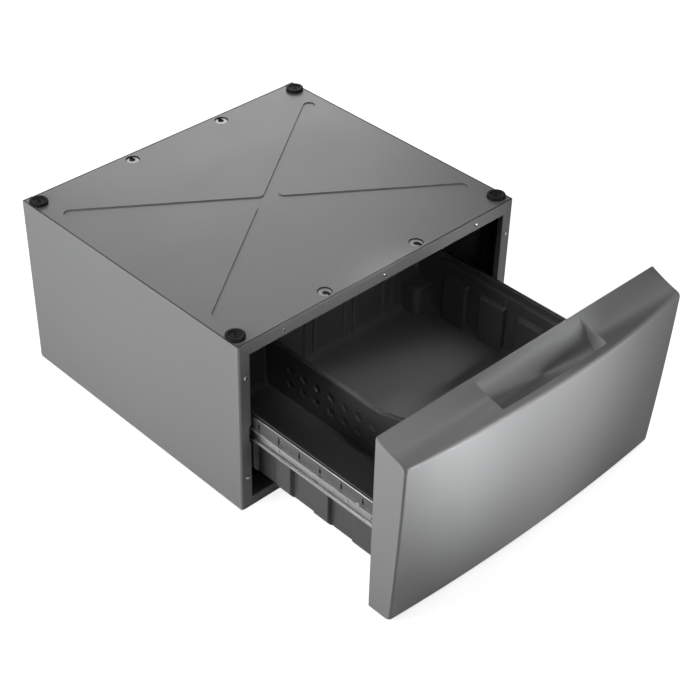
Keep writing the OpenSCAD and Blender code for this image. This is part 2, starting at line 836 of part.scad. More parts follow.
// Drawer member: a channel with lips, its upper flange notched half-round near the front
module slide_inner(side) {
    color(zinc) on_drawer() at_slide(side) difference() {
        union() {
            channel(0, inner_reach, 0, inner_half, inner_t);
            for (s = [-1, 1])
                block([inner_reach - inner_t, 0, s * (inner_half - inner_lip / 2) - inner_lip / 2],
                    [inner_reach, slide_len, s * (inner_half - inner_lip / 2) + inner_lip / 2]);
        }
        translate([inner_reach, notch_y, inner_half - inner_lip - over])
            cylinder(r = notch_r, h = inner_lip + 2 * over);
        translate([-over, inner_bore_y, 0])
            bar_x(slide_bore, inner_t + 2 * over);
        for (y = rivet_y()) translate([-over, y, 0])
            bar_x(screw_d + 2 * hole_play, inner_t + 2 * over);
    }
}

function rivet_y() = [for (s = [0.16, 0.5, 0.84]) s * slide_len];

module slide_rivets() {
    color(zinc) on_drawer() for (side = [-1, 1], y = rivet_y()) at_slide(side)
        translate([0, y, 0]) {
            translate([-rail_t, 0, 0]) bar_x(screw_d, rail_t + inner_t);
            translate([inner_t, 0, 0]) bar_x(rivet_head_d, rivet_head_h);
            translate([-rail_t - rivet_head_h, 0, 0]) bar_x(rivet_head_d, rivet_head_h);
        }
}

module slide_screws() {
    color(zinc) on_cabinet() for (side = [-1, 1]) at_slide(side)
        for (back = [false, true])
            translate([slide_t - outer_t, post_screw_y(back) - slide_y, 0]) {
                bar_x(screw_head_d, outer_t / 2);
                bar_x(screw_d, screw_len);
            }
}

// Ball cage: a thin channel whose arms carry one row of balls each
module ball_cage(side) {
    arm_end = ball_x - ball_d;
    y0 = cage_start();
    color(steel) on_cage() at_slide(side) difference() {
        union() {
            block([cage_x, y0, -ball_z - cage_arm_t / 2],
                [cage_x + cage_t, y0 + cage_len, ball_z + cage_arm_t / 2]);
            for (s = [-1, 1]) block([arm_end, y0, s * ball_z - cage_arm_t / 2],
                [cage_x + cage_t, y0 + cage_len, s * ball_z + cage_arm_t / 2]);
        }
        for (y = ball_y()) translate([ball_x, y, -ball_z - over])
            cylinder(d = ball_d + hole_play, h = 2 * (ball_z + over));
    }
}

function cage_start() = (slide_len - cage_len) / 2;
function ball_y() = [
    for (k = [0 : balls_in_row - 1]) cage_start() + (k + 0.5) * cage_len / balls_in_row
];

module balls(side) {
    color(zinc) on_cage() at_slide(side)
        for (s = [-1, 1], y = ball_y()) translate([ball_x, y, s * ball_z]) sphere(d = ball_d);
}

// Steel rail along the tub: web, shelf under the tub's ledge and front tab
module drawer_rail(side) {
    y0 = -panel_gap;
    shelf = ledge_z - tub_wall;
    color(zinc) on_drawer() handed(side) difference() {
        union() {
            block([rail_face - rail_t, y0, rail_bottom], [rail_face, y0 + rail_len, rail_top]);
            block([tub_side + play, tub_y, shelf - rail_t], [rail_face, y0 + rail_len, shelf]);
            block([rail_face - rail_tab_w, y0, rail_bottom],
                [rail_face, y0 + rail_t, shelf - 2 * rail_t]);
        }
        for (k = [0 : rail_slots - 1])
            translate([rail_face - rail_t - over, rail_slot_first + k * rail_slot_pitch, shelf])
                rail_slot();
        for (y = rivet_y()) translate([rail_face - rail_t - over, slide_y + y, slide_z])
            bar_x(screw_d + 2 * hole_play, rail_t + 2 * over);
        translate([rail_tab_x(), y0 - over, slide_z])
            bar_y(screw_d + 2 * hole_play, rail_t + 2 * over);
    }
}

function rail_tab_x() = rail_face - rail_t - rail_tab_w / 2;

// Hook slot, narrow above and wide below
module rail_slot() {
    rotate([90, 0, 90]) linear_extrude(rail_t + 2 * over) polygon([
        [-rail_slot_foot_w / 2, 0], [rail_slot_foot_w / 2, 0],
        [rail_slot_top_w / 2, rail_slot_h], [-rail_slot_top_w / 2, rail_slot_h]
    ]);
}

module rail_screws() {
    color(zinc) on_drawer() for (side = [-1, 1])
        translate([side * rail_tab_x(), rail_t - panel_gap, slide_z])
            rotate([0, 0, 180]) dome_screw(screw_len);
}

// Box with upright corners of radius r and its lower edges rounded by c
module coved_box(half, y0, y1, z0, z1, r, c) {
    hull() {
        for (x = [c - half, half - c], y = [y0 + c, y1 - c]) translate([x, y, z0 + c])
            rotate_extrude($fn = 32) polygon(concat(
                [[0, 0]],
                [for (j = [0 : arc_steps]) let (a = 270 + 90 * j / arc_steps) c * [cos(a), sin(a)]]
            ));
        for (x = [r - half, half - r], y = [y0 + r, y1 - r]) translate([x, y, z0 + 2 * c])
            cylinder(r = r, h = z1 - z0 - 2 * c, $fn = 32);
    }
}

// Moulded tub: coved floor, stepped rim, wall pads, corner posts and divider slots
module tub() {
    y1 = tub_y + tub_d;
    color(resin) on_drawer() difference() {
        union() {
            difference() {
                union() {
                    coved_box(tub_side, tub_y, y1, tub_z, tub_top, tub_corner_r + tub_wall, cove_r);
                    for (side = [-1, 1]) handed(side)
                        block([tub_side - tub_wall, tub_y, ledge_z - tub_wall],
                            [tub_half, tub_y + rim_back + tub_wall, tub_top]);
                }
                coved_box(tub_in, tub_y + tub_wall, y1 - tub_wall, floor_z, tub_top + over,
                    tub_corner_r, cove_r - tub_wall);
                for (side = [-1, 1]) handed(side)
                    block([tub_in - over, tub_y + tub_wall, ledge_z],
                        [tub_half - tub_wall, tub_y + rim_back, tub_top + over]);
            }
            for (side = [-1, 1]) handed(side) {
                for (k = [0 : wall_pads - 1]) wall_pad(k, 0, floor_z);
                corner_post(0);
            }
            for (k = slot_places, s = [-1, 1]) translate([k * divider_pitch, 0, 0])
                slot_rib(s);
            for (x = tub_screw_x) translate([x, -panel_gap, boss_z])
                bar_y(boss_d, tub_y + panel_gap + tub_wall);
        }
        for (side = [-1, 1]) handed(side) {
            for (k = [0 : wall_pads - 1]) wall_pad(k, tub_wall, tub_z - over);
            corner_post(tub_wall);
        }
        for (x = tub_screw_x) translate([x, -panel_gap - over, boss_z])
            bar_y(screw_d + 2 * hole_play, tub_y + panel_gap + tub_wall + 2 * over);
    }
}

// Raised pad k on the right wall, drawn smaller by t for the hollow behind it
module wall_pad(k, t, z0) {
    yc = tub_y + wall_pad_first + k * wall_pad_pitch;
    slope = wall_pad_t - t;
    x0 = tub_in - wall_pad_t + t;
    x1 = tub_in + (t > 0 ? tub_wall + over : tub_wall / 2);
    translate([0, yc + wall_pad_w / 2 - t, 0]) rotate([90, 0, 0])
        linear_extrude(wall_pad_w - 2 * t) polygon([
            [x0, z0], [x1, z0], [x1, wall_pad_top - t],
            [x0 + slope, wall_pad_top - t], [x0, wall_pad_top - t - slope / 2]
        ]);
}

// Post in the back right corner, hollow from below
module corner_post(t) {
    y1 = tub_y + tub_d - (t > 0 ? -over : tub_wall / 2);
    x1 = tub_side + (t > 0 ? over : -tub_wall / 2);
    x0 = tub_in - post_w + t;
    y0 = tub_y + tub_d - tub_wall - post_w + t;
    r = post_w / 3 - t;
    z0 = t > 0 ? tub_z - over : floor_z;
    z1 = floor_z + post_h - t;
    block([x0 + r, y0, z0], [x1, y1, z1]);
    block([x0, y0 + r, z0], [x1, y1, z1]);
    translate([x0 + r, y0 + r, z0]) cylinder(r = r, h = z1 - z0);
}

// Upright rib beside a divider slot on the back wall
module slot_rib(s) {
    y1 = tub_y + tub_d - tub_wall;
    x = s * (slot_gap + slot_rib_w) / 2;
    z1 = ledge_z;
    translate([x, y1, floor_z]) intersection() {
        block([-slot_rib_w / 2, -slot_rib_t, 0], [slot_rib_w / 2, tub_wall / 2, z1 - floor_z]);
        union() {
            translate([0, slot_rib_w / 2 - slot_rib_t, 0])
                cylinder(d = slot_rib_w, h = z1 - floor_z);
            block([-slot_rib_w / 2, slot_rib_w / 2 - slot_rib_t, 0],
                [slot_rib_w / 2, tub_wall / 2, z1 - floor_z]);
        }
    }
}

module tub_screws() {
    color(zinc) on_drawer() for (x = tub_screw_x)
        translate([x, tub_y + tub_wall, boss_z]) rotate([0, 0, 180])
            dome_screw(tub_y + tub_wall + panel_gap + back_t + over);
}

// Divider with two rows of dimples and a top edge that rises towards the front
module divider() {
    len = divider_y1 - divider_y0;
    z0 = floor_z;
    z1 = z0 + divider_h;
    z2 = z1 + divider_rise;
    foot_r = cove_r;
    x0 = divider_x - divider_t / 2;
    color(resin) on_drawer() difference() {
        translate([x0, 0, 0]) rotate([90, 0, 90]) linear_extrude(divider_t) polygon([
            each [for (j = [0 : arc_steps]) let (a = 270 - 90 * j / arc_steps)
                [divider_y0 + foot_r * (1 + cos(a)), z0 + foot_r * (1 + sin(a))]],
            [divider_y0, z2], [divider_y0 + rise_end_share * len, z2],
            [divider_y0 + rise_start_share * len, z1], [divider_y1, z1],
            each [for (j = [0 : arc_steps]) let (a = -90 * j / arc_steps)
                [divider_y1 - foot_r * (1 - cos(a)), z0 + foot_r * (1 + sin(a))]]
        ]);
        for (k = [0 : dimples - 1], z = dimple_rows, s = [0, 1])
            translate([x0 + s * divider_t, divider_y1 - dimple_back - k * dimple_pitch, z0 + z])
                rotate([0, s * 180, 0]) translate([-over, 0, 0])
                    bar_x(dimple_d, over + dimple_drop);
    }
}

// Outline of the front panel at station x, inset by g: [forward, z] points
function along(x) = 1 - pow(x / panel_half, 2);
function end_cut(x) = let (e = panel_half - abs(x), r = panel_corner_r)
    e >= r ? 0 : r - sqrt(max(0, r * r - (r - e) * (r - e)));
function taper_at(x, z) = let (t = max(0, panel_front_z - roll_r - z) / (panel_front_z - roll_r))
    (taper_side + (taper_mid - taper_side) * along(x))
    * (taper_linear_share * t + (1 - taper_linear_share) * t * t);
function top_at(s, reach) = let (u = s / reach)
    u >= 1 ? panel_front_z
    : panel_top - panel_fall * u - 4 * fall_sag * u * (1 - u);
function panel_outline(x, g, back) = let (
    cut = end_cut(x),
    drop = end_drop_share * cut,
    depth = panel_depth + panel_bow * along(x) - cut,
    z0 = panel_z0 + drop,
    toe_z = z0 + toe_r,
    toe_s = depth - taper_at(x, toe_z) - toe_r,
    roll_z = panel_front_z - drop - roll_r,
    reach = depth - roll_r - lip_margin
) concat(
    [[back, z0 + g]],
    [for (j = [0 : 4]) let (a = -90 + 20 * j)
        [toe_s + (toe_r - g) * cos(a), toe_z + (toe_r - g) * sin(a)]],
    [for (j = [0 : face_steps]) let (z = toe_z + (roll_z - toe_z) * j / face_steps)
        [depth - taper_at(x, z) - g, z]],
    [for (j = [1 : 5]) let (a = 18 * j)
        [depth - roll_r + (roll_r - g) * cos(a), roll_z + (roll_r - g) * sin(a)]],
    [for (j = [fall_steps : -1 : 1]) let (s = reach * j / fall_steps)
        [s, top_at(s, reach) - drop - g]],
    [[back, panel_top - drop - g]]
);

// Stations along the panel, close together at its rounded ends
function panel_stations(half) = let (
    r = panel_corner_r,
    ends = [for (k = [0 : corner_stations - 1]) half - r + r * sin(90 * k / (corner_stations - 1))]
) concat(
    [for (k = [corner_stations - 1 : -1 : 0]) -ends[k]],
    [for (k = [1 : stations - 2]) (half - r) * (2 * k / (stations - 1) - 1)],
    ends
);

// Solid skinned over outlines of the same number of points
module loft(rings) {
    n = len(rings[0]);
    m = len(rings);
    polyhedron(
        points = [for (r = rings) each r],
        faces = concat(
            [[for (j = [n - 1 : -1 : 0]) j]],
            [for (i = [0 : m - 2], j = [0 : n - 1]) let (
                k = (j + 1) % n,
                a = i * n,
                b = a + n)
                each [[a + j, b + k, b + j], [a + j, a + k, b + k]]],
            [[for (j = [0 : n - 1]) (m - 1) * n + j]]
        )
    );
}

module panel_form(g) {
    shrink = (panel_half - g) / panel_half;
    back = g > 0 ? -over : 0;
    loft([for (x = panel_stations(panel_half))
        [for (p = panel_outline(x, g, back)) [x * shrink, -panel_gap - p.x, p.y]]]);
}

// Profile of the pocket, forward and z, from the back edge down and under the lip
function pocket_profile() = let (
    lip = lip_s,
    top = panel_top + over,
    f = panel_front_z,
    d = pocket_drop
) [
    [pocket_back, top],
    [pocket_back, top_at(pocket_back, lip + lip_w - lip_margin)],
    [0.3 * lip, f + 0.2 * d],
    [0.5 * lip, f - 0.25 * d],
    [0.7 * lip, f - 0.62 * d],
    [0.87 * lip, f - 0.9 * d],
    [lip, f - d],
    [lip + 0.6 * lip_w, f - 0.85 * d],
    [lip + lip_w, f - 0.5 * d],
    [lip + 0.6 * lip_w, f - 0.25 * d],
    [lip, f - 0.1 * d],
    [lip, top]
];

// Pocket space: the profile along x, cut by drafted ends and rounded front corners
module pocket(g) {
    lip = lip_s;
    far = panel_depth + panel_bow;
    low = panel_front_z - pocket_drop - panel_wall - over;
    high = panel_top + 2 * over;
    half = pocket_half + g;
    foot_half = half - pocket_draft;
    intersection() {
        translate([-half, 0, 0]) rotate([90, 0, 90]) linear_extrude(2 * half)
            offset(delta = g) polygon([for (p = pocket_profile()) [-panel_gap - p.x, p.y]]);
        rotate([90, 0, 0]) linear_extrude(panel_gap + far)
            polygon([
                [-foot_half, low], [foot_half, low], [half, panel_front_z],
                [half, high], [-half, high], [-half, panel_front_z]
            ]);
        translate([0, -panel_gap, low]) linear_extrude(high - low) polygon(concat(
            [[half, 0], [-half, 0]],
            [for (j = [0 : arc_steps]) let (a = 180 + 90 * j / arc_steps)
                [pocket_r - half + pocket_r * cos(a), pocket_r - lip - lip_w + pocket_r * sin(a)]],
            [for (j = [0 : arc_steps]) let (a = 270 + 90 * j / arc_steps)
                [half - pocket_r + pocket_r * cos(a), pocket_r - lip - lip_w + pocket_r * sin(a)]]
        ));
    }
}

// Front panel shell with the handle pocket and its screw bosses
module front_panel() {
    color("silver") on_drawer() difference() {
        union() {
            difference() {
                panel_form(0);
                panel_form(panel_wall);
            }
            intersection() {
                panel_form(0);
                pocket(panel_wall);
            }
            intersection() {
                panel_form(panel_wall / 2);
                panel_bosses(panel_boss_d, back_t, panel_depth + panel_bow);
            }
        }
        pocket(0);
        panel_bosses(screw_d - hole_play, 0, screw_len + back_t);
    }
}

function panel_screw_z() = [for (s = panel_screw_z_shares) s * panel_front_z];

module panel_bosses(d, from, to) {
    for (x = [-panel_screw_x_share * panel_half, panel_screw_x_share * panel_half], z = panel_screw_z())
        translate([x, -panel_gap - to, z]) rotate([-90, 0, 0])
            cylinder(d = d, h = to - from, $fn = 16);
}

// Pressed plate that closes the back of the front panel
module panel_back() {
    half = panel_half - panel_wall - back_play;
    z0 = panel_z0 + panel_wall + back_play;
    z1 = panel_top - panel_wall - back_play - back_t;
    r = end_drop_share * panel_corner_r + panel_wall + back_play;
    color(steel) on_drawer() translate([0, -panel_gap - back_t, 0]) difference() {
        upright(back_t) union() {
            translate([-half + r, z0]) square([2 * (half - r), z1 - z0]);
            translate([-half, z0 + r]) square([2 * half, z1 - z0 - 2 * r]);
            for (x = [r - half, half - r], z = [z0 + r, z1 - r]) translate([x, z]) circle(r = r);
        }
        for (x = [-panel_screw_x_share * panel_half, panel_screw_x_share * panel_half],
            z = panel_screw_z())
            translate([x, -over, z]) bar_y(screw_d + 2 * hole_play, back_t + 2 * over);
        for (x = tub_screw_x) translate([x, -over, boss_z])
            bar_y(screw_d + 2 * hole_play, back_t + 2 * over);
        for (side = [-1, 1]) translate([side * rail_tab_x(), -over, slide_z])
            bar_y(screw_d + 2 * hole_play, back_t + 2 * over);
    }
}

module panel_screws() {
    color(zinc) on_drawer()
        for (x = [-panel_screw_x_share * panel_half, panel_screw_x_share * panel_half],
            z = panel_screw_z())
            translate([x, -panel_gap, z]) rotate([0, 0, 180]) flat_screw();
}

// Low screw for the narrow space behind the panel
module flat_screw() {
    head_h = panel_gap - 2 * play;
    rotate([90, 0, 0]) rotate_extrude() polygon([
        [0, -screw_len], [screw_d / 2 - hole_play, -screw_len], [screw_d / 2 - hole_play, 0],
        [screw_head_d / 2, 0], [screw_head_d / 2, head_h / 2],
        [screw_head_d / 3, head_h], [0, head_h]
    ]);
}

module panel_bumpers() {
    color(rubber) on_drawer() for (x = [-bumper_x, bumper_x], s = bumper_z_shares)
        translate([x, -panel_gap, s * panel_front_z])
            bar_y(bumper_d, panel_gap - play);
}

side_panel(-1);  // side_panel_left
side_panel(1);  // side_panel_right
deck();
header();
back_panel();
base_rail(base_rail_y, true);  // base_rail_front
base_rail(base_rail_back_y, false);  // base_rail_back
deck_brace(brace_share);  // deck_brace_front
deck_brace(1 - brace_share);  // deck_brace_back
frame_stiffener(-1);  // frame_stiffener_left
frame_stiffener(1);  // frame_stiffener_right
slide_post(-1, false);  // slide_post_front_left
slide_post(1, false);  // slide_post_front_right
slide_post(-1, true);  // slide_post_back_left
slide_post(1, true);  // slide_post_back_right
foot_brackets();
foot_lock_nuts();
foot(-1, false);  // foot_front_left
foot(1, false);  // foot_front_right
foot(-1, true);  // foot_back_left
foot(1, true);  // foot_back_right
deck_pads();
anchor_cups();
anchor_clips();
anchor_bolts();
anchor_nuts();
frame_screws();
back_screws();
slide_outer(-1);  // slide_outer_left
slide_outer(1);  // slide_outer_right
slide_screws();
slide_inner(-1);  // slide_inner_left
slide_inner(1);  // slide_inner_right
slide_rivets();
ball_cage(-1);  // ball_cage_left
ball_cage(1);  // ball_cage_right
balls(-1);  // balls_left
balls(1);  // balls_right
drawer_rail(-1);  // drawer_rail_left
drawer_rail(1);  // drawer_rail_right
rail_screws();
tub();
tub_screws();
divider();
front_panel();
panel_back();
panel_screws();
panel_bumpers();
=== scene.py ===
import json
import math

import bmesh
import bpy
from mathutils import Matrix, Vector


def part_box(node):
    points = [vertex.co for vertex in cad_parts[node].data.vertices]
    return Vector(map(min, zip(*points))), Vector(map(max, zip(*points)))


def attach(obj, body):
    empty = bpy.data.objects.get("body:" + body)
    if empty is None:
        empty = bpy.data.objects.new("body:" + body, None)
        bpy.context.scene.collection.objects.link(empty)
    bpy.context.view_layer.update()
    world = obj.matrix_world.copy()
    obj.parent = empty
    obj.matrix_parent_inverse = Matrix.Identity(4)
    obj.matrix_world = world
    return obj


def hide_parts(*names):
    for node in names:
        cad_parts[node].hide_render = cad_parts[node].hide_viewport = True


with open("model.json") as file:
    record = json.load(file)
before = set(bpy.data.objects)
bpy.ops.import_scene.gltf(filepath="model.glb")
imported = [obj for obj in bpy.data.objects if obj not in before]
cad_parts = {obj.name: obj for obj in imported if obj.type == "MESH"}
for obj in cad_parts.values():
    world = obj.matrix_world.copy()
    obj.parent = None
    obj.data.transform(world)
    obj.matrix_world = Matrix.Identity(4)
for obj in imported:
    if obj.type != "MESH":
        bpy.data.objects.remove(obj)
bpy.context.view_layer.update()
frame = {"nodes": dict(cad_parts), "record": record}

# Lengths are in metres and angles in degrees unless a name says otherwise.
# Names that end in STEPS or SIDES count a mesh's divisions.

# Camera of the photograph
PHOTO_PX = 700
FOCAL_PX = 1598.93
CENTRE_PX = (290.6, 391.0)
SENSOR_MM = 36.0
CAMERA_AT = (-1.6929, -1.7133, 1.9871)
AZIMUTH = -42.35
ELEVATION = 39.13
CAMERA_REACH = 60

# Front panel: sizes
PANEL_DEPTH = 0.0667
PANEL_BOW = 0.025
PANEL_FALL = 0.0235
PANEL_FALL_SAG = 0.0015
PANEL_WALL = 0.0025
PANEL_RETURN = 0.006
TAPER_SIDE = 0.0165
TAPER_MID = 0.028
TAPER_LINEAR_SHARE = 0.48
END_DROP_SHARE = 0.9

# Front panel: radii of its edges
PANEL_ROLL = 0.009
PANEL_ROLL_START = 11.5
PANEL_TOE = 0.012
PANEL_CORNER = 0.0055
PANEL_EDGE = 0.0016

# Front panel: mesh
UNDERSIDE_START = 0.002
UNDERSIDE_STEPS = 6
TOE_STEPS = 8
FRONT_STEPS = 40
ROLL_STEPS = 10
EDGE_STEPS = 5
END_STEPS = 10
PLAIN_STEPS = 48
STATION_GAP = 0.0003
PANEL_SHARP_FROM = 40

# Handle pocket: sizes; the slopes are heights per length
LIP_WIDTH = 0.008
LIP_WALL_SHIFT = 0.001
LIP_WALL_SLOPE = 9
POCKET_HALF = 0.129
POCKET_DROP = 0.029
POCKET_BACK = 0.006
POCKET_DRAFT = 0.013
POCKET_ONSET = 0.8
POCKET_BLEND = 0.0035
POCKET_CORNER = 0.012
POCKET_FLOOR_BLEND = 0.007
BEYOND_END_SLOPE = 14

# Handle pocket: where the mesh is finer, and its steps along and across
END_FINE_INSIDE = 0.006
END_FINE_OUTSIDE = 0.004
END_FINE_STEPS = 36
LIP_FINE_AHEAD = 0.005
LIP_FINE_BEHIND = 0.006
BACK_FINE = 0.004
TOP_STEPS = (4, 26, 30, 8)

# Tub: sizes
TUB_WALL = 0.003
TUB_CORNER = 0.014
TUB_COVE = 0.019
TUB_BOSS_REACH = 0.005
RIM_STEP = 0.006
RIM_HEIGHT = 0.017
RIM_STOP = 0.066
RIM_STOP_EASE = (-0.004, 0.002)
RIM_RISE_EASE = (-0.0004, 0.0012)
WALL_PADS = 4
WALL_PAD_WIDTH = 0.058
WALL_PAD_OUT = 0.010
WALL_PAD_PITCH = 0.096
WALL_PAD_FIRST = 0.112
WALL_PAD_DROP = 0.024
WALL_PAD_EDGE = 0.003
WALL_PAD_SLANT = 0.007
WALL_PAD_SLANT_LIFT = 0.001
WALL_PAD_SLANT_EASE = (-0.15, 1.15)
LEAST_PAD = 0.0001

# Tub: mesh
COVE_STEPS = 8
CORNER_STEPS = 8
WALL_STEP = 0.008
WALL_GAP = 0.0006
MARK_REACH = 0.004
MARK_STEPS = 10
WALL_STEPS = 18
ROW_GAP = 0.0003
# Rows that are added near a height: start and end from it, steps
PAD_TOP_ROWS = (-0.010, 0.004, 14)
LEDGE_ROWS = (-0.001, 0.002, 6)
BRIM_ROWS = (-0.002, 0, 2)
FLOOR_RING_SHARES = (0.02, 0.4, 0.8, 0.97, 0.996)
WELD_GAP = 0.00005

# Tub: posts in the back corners, ribs beside the divider slots
POST_WIDTH = 0.046
POST_HEIGHT = 0.066
POST_SINK = 0.001
POST_STEPS = 8
POST_BEVEL = 0.004
POST_BEVEL_STEPS = 4
POST_BEVEL_FROM = 50
POST_SHARP_FROM = 60
SLOTS_EACH_SIDE = 2
SLOT_RIB_WIDTH = 0.009
SLOT_RIB_OUT = 0.008
SLOT_RIB_SIDES = 20
SLOT_RIB_DOME_END = 84
SLOT_RIB_DOME_STEPS = 6
SLOT_GAP = 0.016

# Divider: sizes; the rise starts and ends at shares of its length
DIVIDER_PITCH = 0.1065
DIVIDER_RISE = 0.026
RISE_START = 0.43
RISE_END = 0.20
DIVIDER_EDGE_CUT = 0.0005
DIMPLE_WIDTH = 0.018
DIMPLE_DEPTH = 0.0022
DIMPLE_EDGE = 0.002
DIMPLE_PITCH = 0.0368
DIMPLES = 11
DIMPLE_ROWS = (0.038, 0.072)
DIMPLE_BACK = 0.070

# Divider: mesh
DIVIDER_STEP = 0.0014
DIVIDER_STEPS = 70
DIVIDER_TOP_STEPS = 10
DIVIDER_SHARP_FROM = 50

# Deck pads; the profile runs outwards, as shares of the radius and depths below the top
PAD_WIDTH = 0.036
PAD_HEIGHT = 0.006
PAD_STEM = 0.008
PAD_HUB = 0.0002
PAD_PROFILE = (
    (0.01, 0.0035), (0.13, 0.0035), (0.16, 0.0008), (0.26, 0.0006), (0.31, 0.0019), (0.58, 0.0019),
    (0.64, 0.0003), (0.69, 0.0), (0.90, 0.0), (0.975, 0.0006), (1.0, 0.002),
)
PAD_SIDES = 48
PAD_SHARP_FROM = 40

# Rolled edges of the drawer rails
HEM_RADIUS = 0.0013
HEM_SINK = 0.0005
HEM_SIDES = 16
HEM_SHARP_FROM = 40

# Looks that several materials share
NOISE_RANGE = (0.3, 0.7)
EDGE_SAMPLES = 4
PAINT_ROUGHNESS = 0.5
PLAIN_PAINT_ROUGHNESS = 0.42
GRAIN = 0.9
GRAIN_UPRIGHT = 0.25

# Studio: white that the floor and the world add where they are looked at, straight
# or in metal and glass
FLOOR_HALF = 14.0
FLOOR_SHADE = 0.8
FLOOR_GLOW_SHARE = 0.79
FLOOR_MIRRORED_SHARE = 0.08
BACKDROP_SHARE = 0.8
WORLD_STRENGTH = 0.06
# The floor's glow is left out within these sides: painted shade under the cabinet
CABINET_SIDES = ("side_panel_left", "side_panel_right")
LAMP_TARGET = (0, -0.05, 0.2)
SOFTBOX = (1.6, 1.6)
# Each lamp: place, target, width and height, spread, watts
LAMPS = {
    "rear_right_softbox": ((1.56, 2.227, 1.268), LAMP_TARGET, SOFTBOX, 180, 17.5),
    "rear_left_softbox": ((-2.075, 2.075, 0.624), LAMP_TARGET, SOFTBOX, 180, 22.0),
    "high_right_softbox": ((0.897, -0.897, 2.719), LAMP_TARGET, SOFTBOX, 180, 11.7),
    "overhead_softbox": ((0, -0.052, 3.0), LAMP_TARGET, SOFTBOX, 180, 7.4),
    "left_softbox": ((-1.3, 0.1, 0.7), (-0.3, 0.1, 0.2), (0.6, 0.6), 180, 8.2),
    "low_right_softbox": ((0.9, -1.6, 0.35), (0.1, -0.4, 0.3), (0.6, 0.6), 90, 1.5),
    "low_beam_middle": ((0.25, -1.5, 0.134), (-0.05, -0.4, 0.5), (0.26, 0.26), 50, 0.66),
    "low_beam_left": ((-0.1, -1.35, 0.13), (-0.15, -0.4, 0.53), (0.25, 0.25), 45, 0.3),
    "low_beam_corner": ((-0.4, -1.6, 0.145), (-0.2, -0.4, 0.5), (0.29, 0.29), 50, 0.5),
    "header_strip": ((0, -1.6, 0.76), (0, -0.1, 0.36), (0.6, 0.05), 5, 0.048),
    "tub_strip": ((-0.29, -1.19, 1.3), (0.06, -0.08, 0.07), (0.35, 0.04), 6, 0.07),
    "tub_beam": ((-0.6, -1.15, 1.25), (0.04, -0.05, 0.18), (0.3, 0.3), 15, 0.06),
    "tub_top_strip": ((0.12, -0.2, 1.6), (0.05, -0.25, 0.06), (0.3, 0.1), 10, 0.13),
}


# Small tools for smooth shapes


def smooth_min(a, b, k):
    """The lesser of two values, rounded off where they are closer than k."""
    h = max(k - abs(a - b), 0.0) / k
    return min(a, b) - h * h * k / 4


def smooth_max(a, b, k):
    return -smooth_min(-a, -b, k)


def ease(x, start, end):
    """0 up to start, 1 from end on, with a smooth rise between."""
    t = min(max((x - start) / (end - start), 0.0), 1.0)
    return t * t * (3 - 2 * t)


def spread(start, end, count):
    """count + 1 evenly spaced values."""
    return [start + (end - start) * i / count for i in range(count + 1)]


def spread_near(value, rows):
    """Evenly spaced values round one; rows gives start and end from it, and the steps."""
    start, end, count = rows
    return spread(value + start, value + end, count)


def merged(values, gap):
    """Sorted values, without those closer together than gap."""
    kept = []
    for v in sorted(values):
        if not kept or v - kept[-1] > gap:
            kept.append(v)
    return kept


def turned(degrees):
    """Cosine and sine."""
    angle = math.radians(degrees)
    return math.cos(angle), math.sin(angle)


def arc(x, y, radius, angles):
    """Points at these angles round a centre."""
    return [(x + radius * c, y + radius * s) for c, s in map(turned, angles)]


def full_turn(sides):
    return spread(0, 360, sides)[:-1]


def new_object(name, verts, faces, smooth=True):
    mesh = bpy.data.meshes.new(name)
    mesh.from_pydata([tuple(v) for v in verts], [], faces)
    mesh.validate()
    if smooth:
        mesh.polygons.foreach_set("use_smooth", [True] * len(mesh.polygons))
    obj = bpy.data.objects.new(name, mesh)
    bpy.context.scene.collection.objects.link(obj)
    return obj


def grid_faces(rows, columns, closed):
    """Quads of a grid stored row by row, closed round the columns if asked."""
    faces = []
    for i in range(rows - 1):
        row, above = i * columns, (i + 1) * columns
        for j in range(columns if closed else columns - 1):
            k = (j + 1) % columns
            faces.append((row + j, row + k, above + k, above + j))
    return faces


def sharpen(obj, degrees):
    """Edges that turn this many degrees or more shade sharp."""
    mesh = bmesh.new()
    mesh.from_mesh(obj.data)
    limit = math.radians(degrees)
    for edge in mesh.edges:
        edge.smooth = len(edge.link_faces) == 2 and edge.calc_face_angle() < limit
    mesh.to_mesh(obj.data)
    mesh.free()


# Materials


